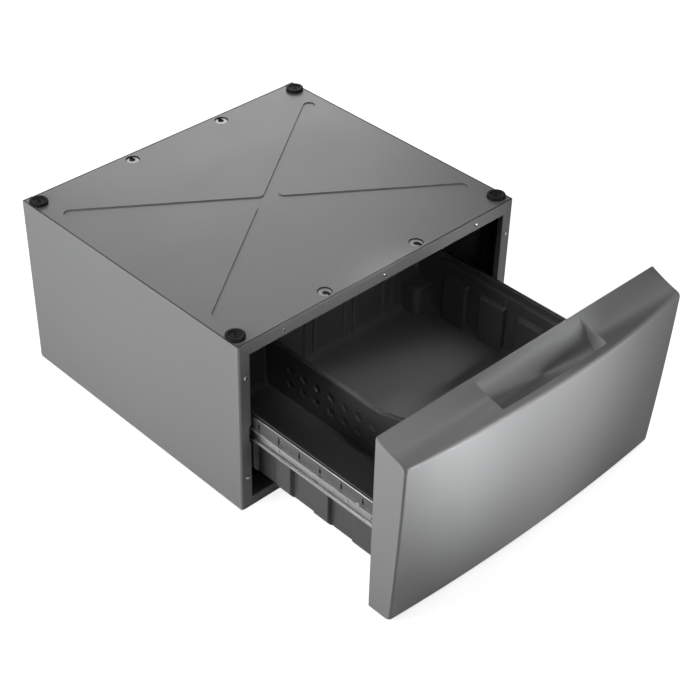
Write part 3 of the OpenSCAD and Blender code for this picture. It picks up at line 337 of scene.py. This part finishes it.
class Shader:
    """A Principled material with short calls for its procedural detail.

    tint, rough and bump draw on noise: its scale and detail, then how much it changes."""

    def __init__(self, name, colour, metallic, roughness, specular=0.5):
        self.material = bpy.data.materials.new(name)
        self.material.use_nodes = True
        self.tree = self.material.node_tree
        self.principled = self.tree.nodes["Principled BSDF"]
        self.principled.inputs["Metallic"].default_value = metallic
        self.principled.inputs["Specular IOR Level"].default_value = specular
        self.colour = colour
        self.roughness = roughness
        self.place = self.node("ShaderNodeTexCoord").outputs["Object"]
        self.normal = None

    def node(self, kind, **values):
        made = self.tree.nodes.new(kind)
        for name, value in values.items():
            made.inputs[name.replace("_", " ")].default_value = value
        return made

    def link(self, output, target):
        self.tree.links.new(output, target)

    def noise(self, scale, detail, stretch=(1, 1, 1)):
        mapping = self.node("ShaderNodeMapping", Scale=stretch)
        self.link(self.place, mapping.inputs["Vector"])
        made = self.node("ShaderNodeTexNoise", Scale=scale, Detail=detail)
        self.link(mapping.outputs["Vector"], made.inputs["Vector"])
        return made.outputs["Fac"]

    def ramp(self, source, least, most):
        start, end = NOISE_RANGE
        made = self.node("ShaderNodeMapRange", From_Min=start, From_Max=end, To_Min=least, To_Max=most)
        self.link(source, made.inputs["Value"])
        return made.outputs["Result"]

    def tint(self, scale, detail, amount, stretch=(1, 1, 1)):
        """Base colour times 1 - amount to 1 + amount."""
        factor = self.ramp(self.noise(scale, detail, stretch), 1 - amount, 1 + amount)
        mix = self.node("ShaderNodeVectorMath")
        mix.operation = "SCALE"
        mix.inputs[0].default_value = self.colour
        self.link(factor, mix.inputs["Scale"])
        self.link(mix.outputs["Vector"], self.principled.inputs["Base Color"])
        return self

    def rough(self, scale, detail, amount):
        """Roughness less or more this amount."""
        low, high = self.roughness - amount, self.roughness + amount
        value = self.ramp(self.noise(scale, detail), low, high)
        self.link(value, self.principled.inputs["Roughness"])
        return self

    def bump(self, scale, detail, distance, strength):
        made = self.node("ShaderNodeBump", Strength=strength, Distance=distance)
        self.link(self.noise(scale, detail), made.inputs["Height"])
        if self.normal is not None:
            self.link(self.normal, made.inputs["Normal"])
        return self.turn_normal(made)

    def soft_edges(self, radius):
        """Rounds the look of sharp edges by this radius."""
        made = self.node("ShaderNodeBevel", Radius=radius)
        made.samples = EDGE_SAMPLES
        return self.turn_normal(made)

    def turn_normal(self, made):
        self.normal = made.outputs["Normal"]
        self.link(self.normal, self.principled.inputs["Normal"])
        return self

    def upright_grain(self):
        """Stretches reflections up and down."""
        self.principled.inputs["Anisotropic"].default_value = GRAIN
        self.principled.inputs["Anisotropic Rotation"].default_value = GRAIN_UPRIGHT
        level = self.node("ShaderNodeTangent")
        level.direction_type = "RADIAL"
        level.axis = "Z"
        self.link(level.outputs["Tangent"], self.principled.inputs["Tangent"])


def satin_paint(name, edge=0.0, grain=True):
    """Grey metallic paint."""
    roughness = PAINT_ROUGHNESS if grain else PLAIN_PAINT_ROUGHNESS
    made = Shader(name, (0.27, 0.272, 0.275), metallic=0.5, roughness=roughness)
    if edge:
        made.soft_edges(edge)
    if grain:
        made.upright_grain()
    return made.tint(2600, 1, 0.04).rough(9, 3, 0.015).bump(1700, 1, 0.00002, 0.3).material


def inner_paint():
    made = Shader("dark_inner_paint", (0.02, 0.02, 0.021), metallic=0.1, roughness=0.55, specular=0.3)
    return made.soft_edges(0.0008).tint(60, 3, 0.12).rough(30, 3, 0.05).material


def zinc(name, shade, roughness, edge=0.0004):
    made = Shader(name, (shade, shade, shade), metallic=1.0, roughness=roughness)
    made.soft_edges(edge).tint(500, 3, 0.08).rough(240, 3, 0.06)
    return made.bump(900, 2, 0.00002, 0.3).material


def rolled_steel():
    """Bright steel with fine lines along the slides."""
    made = Shader("rolled_steel", (0.58, 0.585, 0.59), metallic=1.0, roughness=0.3)
    made.soft_edges(0.0004)
    return made.tint(700, 2, 0.03, stretch=(1, 0.02, 1)).rough(40, 2, 0.03).material


def rail_steel():
    made = Shader("grey_rail_steel", (0.2, 0.2, 0.203), metallic=0.7, roughness=0.42)
    made.soft_edges(0.0005).tint(300, 3, 0.05).rough(40, 3, 0.05)
    return made.bump(1200, 2, 0.00002, 0.3).material


def chrome():
    made = Shader("polished_ball", (0.7, 0.7, 0.7), metallic=1.0, roughness=0.1)
    return made.tint(900, 2, 0.03).rough(500, 2, 0.02).material


def rubber():
    made = Shader("black_rubber", (0.008, 0.008, 0.008), metallic=0.0, roughness=0.55, specular=0.25)
    return made.tint(300, 3, 0.2).rough(160, 3, 0.08).bump(1400, 3, 0.00008, 0.4).material


def tub_plastic():
    colour = (0.09, 0.09, 0.092)
    made = Shader("grained_tub_plastic", colour, metallic=0.0, roughness=0.34, specular=0.6)
    made.soft_edges(0.0014).tint(700, 3, 0.08).rough(20, 3, 0.04)
    return made.bump(1300, 3, 0.00006, 0.4).material


MATERIALS = {
    "cabinet_paint": satin_paint("satin_grey_paint", 0.0008),
    "brace_steel": inner_paint(),
    "zinc_plate": zinc("bright_zinc", 0.62, 0.2),
    "foot_rubber": rubber(),
    "pad_rubber": rubber(),
    "slide_steel": rolled_steel(),
    "rail_steel": rail_steel(),
    "cage_steel": rolled_steel(),
    "ball_chrome": chrome(),
    "tub_plastic": tub_plastic(),
    "panel_paint": satin_paint("satin_panel_paint"),
    "panel_back_paint": satin_paint("satin_back_paint", 0.0008),
}
# These nodes share a material slot with others but have a look of their own
OWN_LOOK = {
    "deck": satin_paint("satin_deck_paint", grain=False),
    "anchor_clips": zinc("dull_clip_zinc", 0.5, 0.45),
    "frame_screws": zinc("domed_screw_zinc", 0.75, 0.2, 0.002),
}


def dress(obj, slot):
    """One material over the whole object."""
    obj.data.materials.clear()
    obj.data.materials.append(MATERIALS[slot])


def dress_cad_nodes():
    for part in frame["record"]["subparts"]:
        look = OWN_LOOK.get(part["node"], MATERIALS[part["material_slot"]])
        for slot in frame["nodes"][part["node"]].material_slots:
            slot.material = look


# Front panel


def panel_stations(half):
    """Where the panel is cut across, from its left end to its right end."""
    ends = [half - PANEL_CORNER + PANEL_CORNER * turned(a)[1] for a in spread(0, 90, END_STEPS)]
    inside = POCKET_HALF - POCKET_DRAFT - END_FINE_INSIDE
    walls = spread(inside, POCKET_HALF + END_FINE_OUTSIDE, END_FINE_STEPS)
    plain = spread(0, half - PANEL_CORNER, PLAIN_STEPS)
    right = merged(ends + walls + plain, STATION_GAP)
    return [-x for x in reversed(right) if x > 0] + right


def panel_ring(x, half, z0, z1):
    """Points (forward, height) round the panel at x.

    They run along the underside, up the front, over the roll and back along the top."""
    along = 1 - (x / half) ** 2
    over_corner = max(abs(x) - half + PANEL_CORNER, 0.0)
    cut = PANEL_CORNER - math.sqrt(max(PANEL_CORNER**2 - over_corner**2, 0.0))
    drop = END_DROP_SHARE * cut
    depth = PANEL_DEPTH + PANEL_BOW * along - cut
    front_z = z1 - PANEL_FALL
    roll_z = front_z - drop - PANEL_ROLL
    low_z = z0 + drop
    toe_z = low_z + PANEL_TOE
    roll_end = 90 - PANEL_ROLL_START
    reach = depth - PANEL_ROLL * (1 - turned(roll_end)[0])
    lip = depth - PANEL_ROLL - LIP_WIDTH

    def taper(z):
        """How far the front lies behind its upper edge."""
        t = max(front_z - PANEL_ROLL - z, 0.0) / (front_z - PANEL_ROLL - z0)
        amount = TAPER_SIDE + (TAPER_MID - TAPER_SIDE) * along
        return amount * (TAPER_LINEAR_SHARE * t + (1 - TAPER_LINEAR_SHARE) * t * t)

    def plain_top(s):
        """Height of the top without the pocket."""
        u = s / reach
        if u >= 1:
            return front_z
        return z1 - PANEL_FALL * u - 4 * PANEL_FALL_SAG * u * (1 - u)

    def scoop(s):
        """Height of the pocket's slope, from its back edge down to the lip's wall."""
        u = min(max((s - POCKET_BACK) / (lip - POCKET_BACK), 0.0), 1.0) ** POCKET_ONSET
        depth_at_lip = plain_top(lip) - front_z + POCKET_DROP
        return plain_top(s) + POCKET_BLEND / 2 - depth_at_lip * ease(u, 0, 1)

    def top(s):
        """Height of the top with the pocket."""
        past = abs(x) - POCKET_HALF
        end_slope = POCKET_DROP / POCKET_DRAFT if past < 0 else BEYOND_END_SLOPE
        end = front_z + past * end_slope
        wall = front_z + (s - lip - LIP_WALL_SHIFT) * LIP_WALL_SLOPE
        walls = smooth_max(end, wall, POCKET_CORNER)
        dip = smooth_max(walls, scoop(s), POCKET_FLOOR_BLEND)
        return smooth_min(plain_top(s), dip, POCKET_BLEND) - drop

    toe_s = depth - taper(toe_z) - PANEL_TOE
    ring = [(PANEL_RETURN, low_z + PANEL_WALL), (0.0, low_z + PANEL_WALL), (0.0, low_z)]
    ring += [(UNDERSIDE_START + (toe_s - UNDERSIDE_START) * t, low_z)
             for t in spread(0, 1, UNDERSIDE_STEPS)[:-1]]
    ring += arc(toe_s, toe_z, PANEL_TOE, spread(-90, 0, TOE_STEPS))
    ring += [(depth - taper(z), z) for z in spread(toe_z, roll_z, FRONT_STEPS)[1:]]
    ring += arc(depth - PANEL_ROLL, roll_z, PANEL_ROLL, spread(0, roll_end, ROLL_STEPS)[1:])
    marks = (reach, lip + LIP_FINE_AHEAD, lip - LIP_FINE_BEHIND, POCKET_BACK + BACK_FINE, PANEL_EDGE)
    for start, end, steps in zip(marks, marks[1:], TOP_STEPS):
        ring += [(s, top(s)) for s in spread(start, end, steps)[1:]]
    edge_z = top(PANEL_EDGE) - PANEL_EDGE
    ring += arc(PANEL_EDGE, edge_z, PANEL_EDGE, spread(90, 180, EDGE_STEPS)[1:])
    inner_z = edge_z + PANEL_EDGE - PANEL_WALL
    ring += [(0.0, inner_z), (PANEL_RETURN, inner_z)]
    return ring


def make_front_panel():
    lo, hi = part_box("front_panel")
    half, back = hi[0], hi[1]
    rings = [(x, panel_ring(x, half, lo[2], hi[2])) for x in panel_stations(half)]
    verts = [(x, back - s, z) for x, ring in rings for s, z in ring]
    count = len(rings[0][1])
    faces = grid_faces(len(rings), count, False)
    # The two ends; the ring's first two points and its last one lie inside the wall
    faces.append(tuple(range(2, count - 1)))
    faces.append(tuple(len(verts) - count + j for j in range(count - 2, 1, -1)))
    panel = new_object("front_panel_shell", verts, faces)
    sharpen(panel, PANEL_SHARP_FROM)
    dress(panel, "panel_paint")
    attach(panel, "drawer")
    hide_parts("front_panel")


# Tub


def side_values(length, marks):
    """Distances along a side of the tub, closer together near the marks."""
    values = spread(0, length, int(length / WALL_STEP))
    for mark in marks:
        values += spread_near(mark, (-MARK_REACH, MARK_REACH, MARK_STEPS))
    return merged([v for v in values if 0 <= v <= length], WALL_GAP)


def corner(x, y, r, start):
    """Points of a rounded corner between its ends, with their way inwards."""
    angles = spread(start, start + 90, CORNER_STEPS)[1:-1]
    return [(x + r * c, y + r * s, -c, -s) for c, s in map(turned, angles)]


def tub_path(x1, y0, y1):
    """Points (x, y, inward x, inward y) round the inner wall.

    They run anticlockwise from the front left corner."""
    r = TUB_CORNER
    marks = []
    for k in range(WALL_PADS):
        centre = WALL_PAD_FIRST - TUB_WALL + k * WALL_PAD_PITCH
        marks += [centre - WALL_PAD_WIDTH / 2 - r, centre + WALL_PAD_WIDTH / 2 - r]
    marks.append((y1 - y0) - RIM_STOP + 2 * TUB_WALL - r)
    wide = side_values(2 * x1 - 2 * r, [])
    long = side_values(y1 - y0 - 2 * r, marks)
    points = [(-x1 + r + v, y0, 0, 1) for v in wide]
    points += corner(x1 - r, y0 + r, r, -90)
    points += [(x1, y0 + r + v, -1, 0) for v in long]
    points += corner(x1 - r, y1 - r, r, 0)
    points += [(x1 - r - v, y1, 0, -1) for v in wide]
    points += corner(-x1 + r, y1 - r, r, 90)
    points += [(-x1, y0 + r + v, 1, 0) for v in reversed(long)]
    points += corner(-x1 + r, y0 + r, r, 180)
    return points


def make_tub():
    lo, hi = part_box("tub")
    y0 = lo[1] + TUB_BOSS_REACH + TUB_WALL
    y1 = hi[1] - TUB_WALL
    x1 = hi[0] - RIM_STEP - TUB_WALL
    floor_z = lo[2] + TUB_WALL
    top_z = hi[2]
    ledge = top_z - RIM_HEIGHT
    pad_top = ledge - WALL_PAD_DROP
    rim_stop = y1 - RIM_STOP + TUB_WALL
    path = tub_path(x1, y0, y1)

    def pad_at(y, z):
        """How far the wall pads stand out here."""
        best = 0.0
        for k in range(WALL_PADS):
            centre = y0 + WALL_PAD_FIRST - TUB_WALL + k * WALL_PAD_PITCH
            away = abs(y - centre) - WALL_PAD_WIDTH / 2
            best = max(best, 1 - ease(away, -WALL_PAD_EDGE / 2, WALL_PAD_EDGE / 2))
        slant = min(max((pad_top + WALL_PAD_SLANT_LIFT - z) / WALL_PAD_SLANT, 0.0), 1.0)
        return best * WALL_PAD_OUT * ease(slant, *WALL_PAD_SLANT_EASE)

    def rim_at(y, z):
        """How far the stepped rim lies back here."""
        mask = 1 - ease(y, *(rim_stop + by for by in RIM_STOP_EASE))
        return RIM_STEP * mask * ease(z, *(ledge + by for by in RIM_RISE_EASE))

    def kept_in(x, y, inset):
        """Where the inset is larger than the outline's corner radius, the corner ends sharp."""
        return max(min(x, x1 - inset), inset - x1), max(min(y, y1 - inset), y0 + inset)

    def wall_point(x, y, nx, ny, z, inset):
        off = inset
        if abs(nx) == 1:
            pad = pad_at(y, z)
            off = max(inset, pad) if pad > LEAST_PAD else inset
            off -= rim_at(y, z)
        x, y = x + nx * off, y + ny * off
        return (*kept_in(x, y, inset), z) if inset else (x, y, z)

    coves = [turned(a) for a in spread(0, 90, COVE_STEPS)]
    rows = [(floor_z + TUB_COVE * (1 - c), TUB_COVE * (1 - s)) for c, s in coves]
    heights = spread(floor_z + TUB_COVE, top_z, WALL_STEPS) + spread_near(pad_top, PAD_TOP_ROWS)
    heights += spread_near(ledge, LEDGE_ROWS) + spread_near(top_z, BRIM_ROWS)
    rows += [(z, 0.0) for z in merged(heights, ROW_GAP)[1:]]
    middle = (y0 + y1) / 2
    verts = []
    for share in FLOOR_RING_SHARES:
        for x, y, nx, ny in path:
            x, y = kept_in(x + nx * TUB_COVE, y + ny * TUB_COVE, TUB_COVE)
            verts.append((x * share, middle + (y - middle) * share, floor_z))
    verts += [wall_point(*point, z, inset) for z, inset in rows for point in path]
    count = len(path)
    faces = grid_faces(len(FLOOR_RING_SHARES) + len(rows), count, True)
    faces.append(tuple(reversed(range(count))))
    tub = new_object("tub_moulding", verts, faces)
    tub.modifiers.new("joined_corners", "WELD").merge_threshold = WELD_GAP
    solid = tub.modifiers.new("wall", "SOLIDIFY")
    solid.thickness = TUB_WALL
    solid.offset = -1
    finish_tub_part(tub)
    make_tub_posts(x1, y1, floor_z)
    make_slot_ribs(y1, floor_z, ledge)
    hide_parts("tub")


def finish_tub_part(obj):
    dress(obj, "tub_plastic")
    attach(obj, "drawer")


def make_tub_posts(x1, y1, floor_z):
    """Upright posts in the back corners, with rounded edges."""
    r = POST_WIDTH / 3
    outline = [(x1, y1), (x1 - POST_WIDTH, y1)]
    outline += arc(x1 - POST_WIDTH + r, y1 - POST_WIDTH + r, r, spread(180, 270, POST_STEPS))
    outline.append((x1, y1 - POST_WIDTH))
    n = len(outline)
    faces = [tuple(range(n)), tuple(range(2 * n - 1, n - 1, -1))]
    faces += [(i, i + n, (i + 1) % n + n, (i + 1) % n) for i in range(n)]
    for side, name in ((-1, "left"), (1, "right")):
        heights = (floor_z - POST_SINK, floor_z + POST_HEIGHT)
        verts = [(side * x, y, z) for z in heights for x, y in outline]
        post = new_object(f"tub_post_{name}", verts, faces)
        bevel = post.modifiers.new("edges", "BEVEL")
        bevel.width = POST_BEVEL
        bevel.segments = POST_BEVEL_STEPS
        bevel.limit_method = "ANGLE"
        bevel.angle_limit = math.radians(POST_BEVEL_FROM)
        sharpen(post, POST_SHARP_FROM)
        finish_tub_part(post)


def make_slot_ribs(y1, floor_z, ledge):
    """Half-round ribs in pairs beside each divider slot, with domed tops."""
    r = SLOT_RIB_WIDTH / 2
    y = y1 + r - SLOT_RIB_OUT
    levels = [(floor_z, 1.0), (ledge - r, 1.0)]
    for a in spread(0, SLOT_RIB_DOME_END, SLOT_RIB_DOME_STEPS)[1:]:
        scale, rise = turned(a)
        levels.append((ledge - r + r * rise, scale))
    faces = grid_faces(len(levels), SLOT_RIB_SIDES, True)
    faces.append(tuple(range((len(levels) - 1) * SLOT_RIB_SIDES, len(levels) * SLOT_RIB_SIDES)))
    for k in range(-SLOTS_EACH_SIDE, SLOTS_EACH_SIDE + 1):
        for side in (-1, 1):
            x = k * DIVIDER_PITCH + side * (SLOT_GAP + SLOT_RIB_WIDTH) / 2
            verts = [(px, py, z) for z, scale in levels
                     for px, py in arc(x, y, r * scale, full_turn(SLOT_RIB_SIDES))]
            finish_tub_part(new_object(f"slot_rib_{k + SLOTS_EACH_SIDE}_{side + 1}", verts, faces))


# Divider


def make_divider():
    lo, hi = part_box("divider")
    x_mid = (lo[0] + hi[0]) / 2
    half = (hi[0] - lo[0]) / 2
    y0, y1 = lo[1], hi[1]
    length = y1 - y0
    z0, z1 = lo[2], hi[2]
    r = half - DIVIDER_EDGE_CUT

    def top_at(y):
        return z1 - DIVIDER_RISE * ease((y - y0) / length, RISE_END, RISE_START)

    def foot_at(y):
        """The lower corners are rounded to the tub's cove."""
        short = max(TUB_COVE - min(y - y0, y1 - y), 0.0)
        return z0 + TUB_COVE - math.sqrt(max(TUB_COVE**2 - short**2, 0.0))

    def dimple_at(y, z):
        """How deep a dimple is here."""
        near = round((y1 - DIMPLE_BACK - y) / DIMPLE_PITCH)
        if near < 0 or near >= DIMPLES:
            return 0.0
        dy = y - (y1 - DIMPLE_BACK - near * DIMPLE_PITCH)
        depth = 0.0
        for row in DIMPLE_ROWS:
            away = math.hypot(dy, z - z0 - row)
            flat = 1 - ease(away, DIMPLE_WIDTH / 2 - DIMPLE_EDGE, DIMPLE_WIDTH / 2)
            depth = max(depth, DIMPLE_DEPTH * flat)
        return depth

    columns = spread(y0, y1, int(length / DIVIDER_STEP))
    shares = spread(0, 1, DIVIDER_STEPS)
    verts = []
    for y in columns:
        low, high = foot_at(y), top_at(y)
        levels = [(z, half - dimple_at(y, z)) for z in (low + (high - r - low) * t for t in shares)]
        verts += [(x_mid - out, y, z) for z, out in levels]
        verts += [(x_mid + half * c, y, high - r + r * s)
                  for c, s in map(turned, spread(180, 0, DIVIDER_TOP_STEPS)[1:-1])]
        verts += [(x_mid + out, y, z) for z, out in reversed(levels)]
    count = len(verts) // len(columns)
    faces = grid_faces(len(columns), count, True)
    faces.append(tuple(reversed(range(count))))
    faces.append(tuple(range(len(verts) - count, len(verts))))
    made = new_object("divider_plate", verts, faces)
    sharpen(made, DIVIDER_SHARP_FROM)
    dress(made, "tub_plastic")
    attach(made, "drawer")
    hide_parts("divider")


# Deck pads and rail hems


def make_deck_pads():
    """Four rubber pads as one piece: rim, dished middle and a raised ring round a hole."""
    lo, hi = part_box("deck_pads")
    r, top = PAD_WIDTH / 2, hi[2]
    profile = [(share * r, top - down) for share, down in PAD_PROFILE]
    profile += [(r, top - PAD_HEIGHT), (PAD_STEM / 2, top - PAD_HEIGHT)]
    profile += [(PAD_STEM / 2, lo[2]), (PAD_HUB, lo[2])]
    pad_faces = grid_faces(len(profile), PAD_SIDES, True)
    pad_faces.append(tuple(range(PAD_SIDES)))
    last = len(profile) * PAD_SIDES
    pad_faces.append(tuple(reversed(range(last - PAD_SIDES, last))))
    verts, faces = [], []
    for x in (lo[0] + r, hi[0] - r):
        for y in (lo[1] + r, hi[1] - r):
            faces += [tuple(len(verts) + k for k in face) for face in pad_faces]
            verts += [(px, py, z) for away, z in profile
                      for px, py in arc(x, y, away, full_turn(PAD_SIDES))]
    pads = new_object("deck_pad_set", verts, faces)
    sharpen(pads, PAD_SHARP_FROM)
    dress(pads, "pad_rubber")
    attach(pads, "cabinet")
    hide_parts("deck_pads")


def make_rail_hems():
    """The rolled upper edges of the two drawer rails."""
    faces = grid_faces(2, HEM_SIDES, True)
    faces += [tuple(range(HEM_SIDES)), tuple(reversed(range(HEM_SIDES, 2 * HEM_SIDES)))]
    for side, name in ((0, "left"), (1, "right")):
        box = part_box(f"drawer_rail_{name}")
        inward = 1 - 2 * side
        x, z = box[side][0] + inward * HEM_RADIUS, box[1][2] - HEM_SINK
        verts = [(px, y, pz) for y in (box[0][1] + HEM_RADIUS, box[1][1] - HEM_RADIUS)
                 for px, pz in arc(x, z, HEM_RADIUS, full_turn(HEM_SIDES))]
        hem = new_object(f"rail_hem_{name}", verts, faces)
        sharpen(hem, HEM_SHARP_FROM)
        dress(hem, "slide_steel")
        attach(hem, "drawer")


# Stage


def maths(tree, operation, *values):
    """A Math node; each value is a number or another node's output."""
    made = tree.nodes.new("ShaderNodeMath")
    made.operation = operation
    for target, value in zip(made.inputs, values):
        if isinstance(value, bpy.types.NodeSocket):
            tree.links.new(value, target)
        else:
            target.default_value = value
    return made.outputs[0]


def seen_strength(tree, base, camera, mirrored):
    """A strength with more where it is looked at, straight or in metal and glass."""
    path = tree.nodes.new("ShaderNodeLightPath")
    strength = base
    for kind, amount in (("Is Camera Ray", camera), ("Is Glossy Ray", mirrored),
                         ("Is Transmission Ray", mirrored)):
        strength = maths(tree, "MULTIPLY_ADD", path.outputs[kind], amount, strength)
    return strength


def painted_cabinet_shade_mask(tree):
    """Painted shade under the cabinet: 1 on the open floor, 0 on the floor that the cabinet encloses,
    where the floor's glow is left out.
    """
    sides = [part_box(name) for name in CABINET_SIDES]
    place = tree.nodes.new("ShaderNodeTexCoord")
    split = tree.nodes.new("ShaderNodeSeparateXYZ")
    tree.links.new(place.outputs["Object"], split.inputs[0])
    near = []
    for axis in (0, 1):
        low = min(lo[axis] for lo, hi in sides)
        high = max(hi[axis] for lo, hi in sides)
        half = (high - low) / 2
        near.append(maths(tree, "COMPARE", split.outputs[axis], (low + high) / 2, half))
    return maths(tree, "SUBTRACT", 1.0, maths(tree, "MULTIPLY", *near))


def make_floor():
    ends = (-FLOOR_HALF, FLOOR_HALF)
    verts = [(x, y, 0) for y in ends for x in ends]
    floor = new_object("studio_floor", verts, [(0, 1, 3, 2)], smooth=False)
    material = bpy.data.materials.new("pale_floor")
    material.use_nodes = True
    tree = material.node_tree
    principled = tree.nodes["Principled BSDF"]
    principled.inputs["Base Color"].default_value = (FLOOR_SHADE, FLOOR_SHADE, FLOOR_SHADE, 1)
    principled.inputs["Roughness"].default_value = 1.0
    principled.inputs["Specular IOR Level"].default_value = 0.0
    glow = tree.nodes.new("ShaderNodeEmission")
    seen = seen_strength(tree, 0.0, FLOOR_GLOW_SHARE, FLOOR_MIRRORED_SHARE)
    # The glow is left out under the cabinet as painted shade; the floor's lit shading stays there
    strength = maths(tree, "MULTIPLY", seen, painted_cabinet_shade_mask(tree))
    tree.links.new(strength, glow.inputs["Strength"])
    total = tree.nodes.new("ShaderNodeAddShader")
    tree.links.new(principled.outputs["BSDF"], total.inputs[0])
    tree.links.new(glow.outputs["Emission"], total.inputs[1])
    tree.links.new(total.outputs["Shader"], tree.nodes["Material Output"].inputs["Surface"])
    floor.data.materials.append(material)


def make_lamp(name, at, target, size, beam, watts):
    data = bpy.data.lights.new(name, "AREA")
    data.shape = "RECTANGLE"
    data.size, data.size_y = size
    data.spread = math.radians(beam)
    data.energy = watts
    lamp = bpy.data.objects.new(name, data)
    lamp.location = at
    lamp.rotation_euler = (Vector(target) - Vector(at)).to_track_quat("-Z", "Y").to_euler()
    bpy.context.scene.collection.objects.link(lamp)


def make_lights():
    world = bpy.data.worlds.new("studio_world")
    bpy.context.scene.world = world
    world.use_nodes = True
    tree = world.node_tree
    back = tree.nodes["Background"]
    back.inputs["Color"].default_value = (1, 1, 1, 1)
    strength = seen_strength(tree, WORLD_STRENGTH, BACKDROP_SHARE, 0.0)
    tree.links.new(strength, back.inputs["Strength"])
    for name, setup in LAMPS.items():
        make_lamp(name, *setup)


def make_camera():
    data = bpy.data.cameras.new("photo_camera")
    data.sensor_width = SENSOR_MM
    data.lens = FOCAL_PX / PHOTO_PX * SENSOR_MM
    data.shift_x = (PHOTO_PX / 2 - CENTRE_PX[0]) / PHOTO_PX
    data.shift_y = (CENTRE_PX[1] - PHOTO_PX / 2) / PHOTO_PX
    data.clip_end = CAMERA_REACH
    camera = bpy.data.objects.new("photo_camera", data)
    camera.location = CAMERA_AT
    camera.rotation_euler = (math.radians(90 - ELEVATION), 0, math.radians(AZIMUTH))
    bpy.context.scene.collection.objects.link(camera)
    bpy.context.scene.camera = camera


dress_cad_nodes()
make_front_panel()
make_tub()
make_divider()
make_deck_pads()
make_rail_hems()
make_floor()
make_lights()
make_camera()

settings = bpy.context.scene.view_settings
settings.view_transform = "Standard"
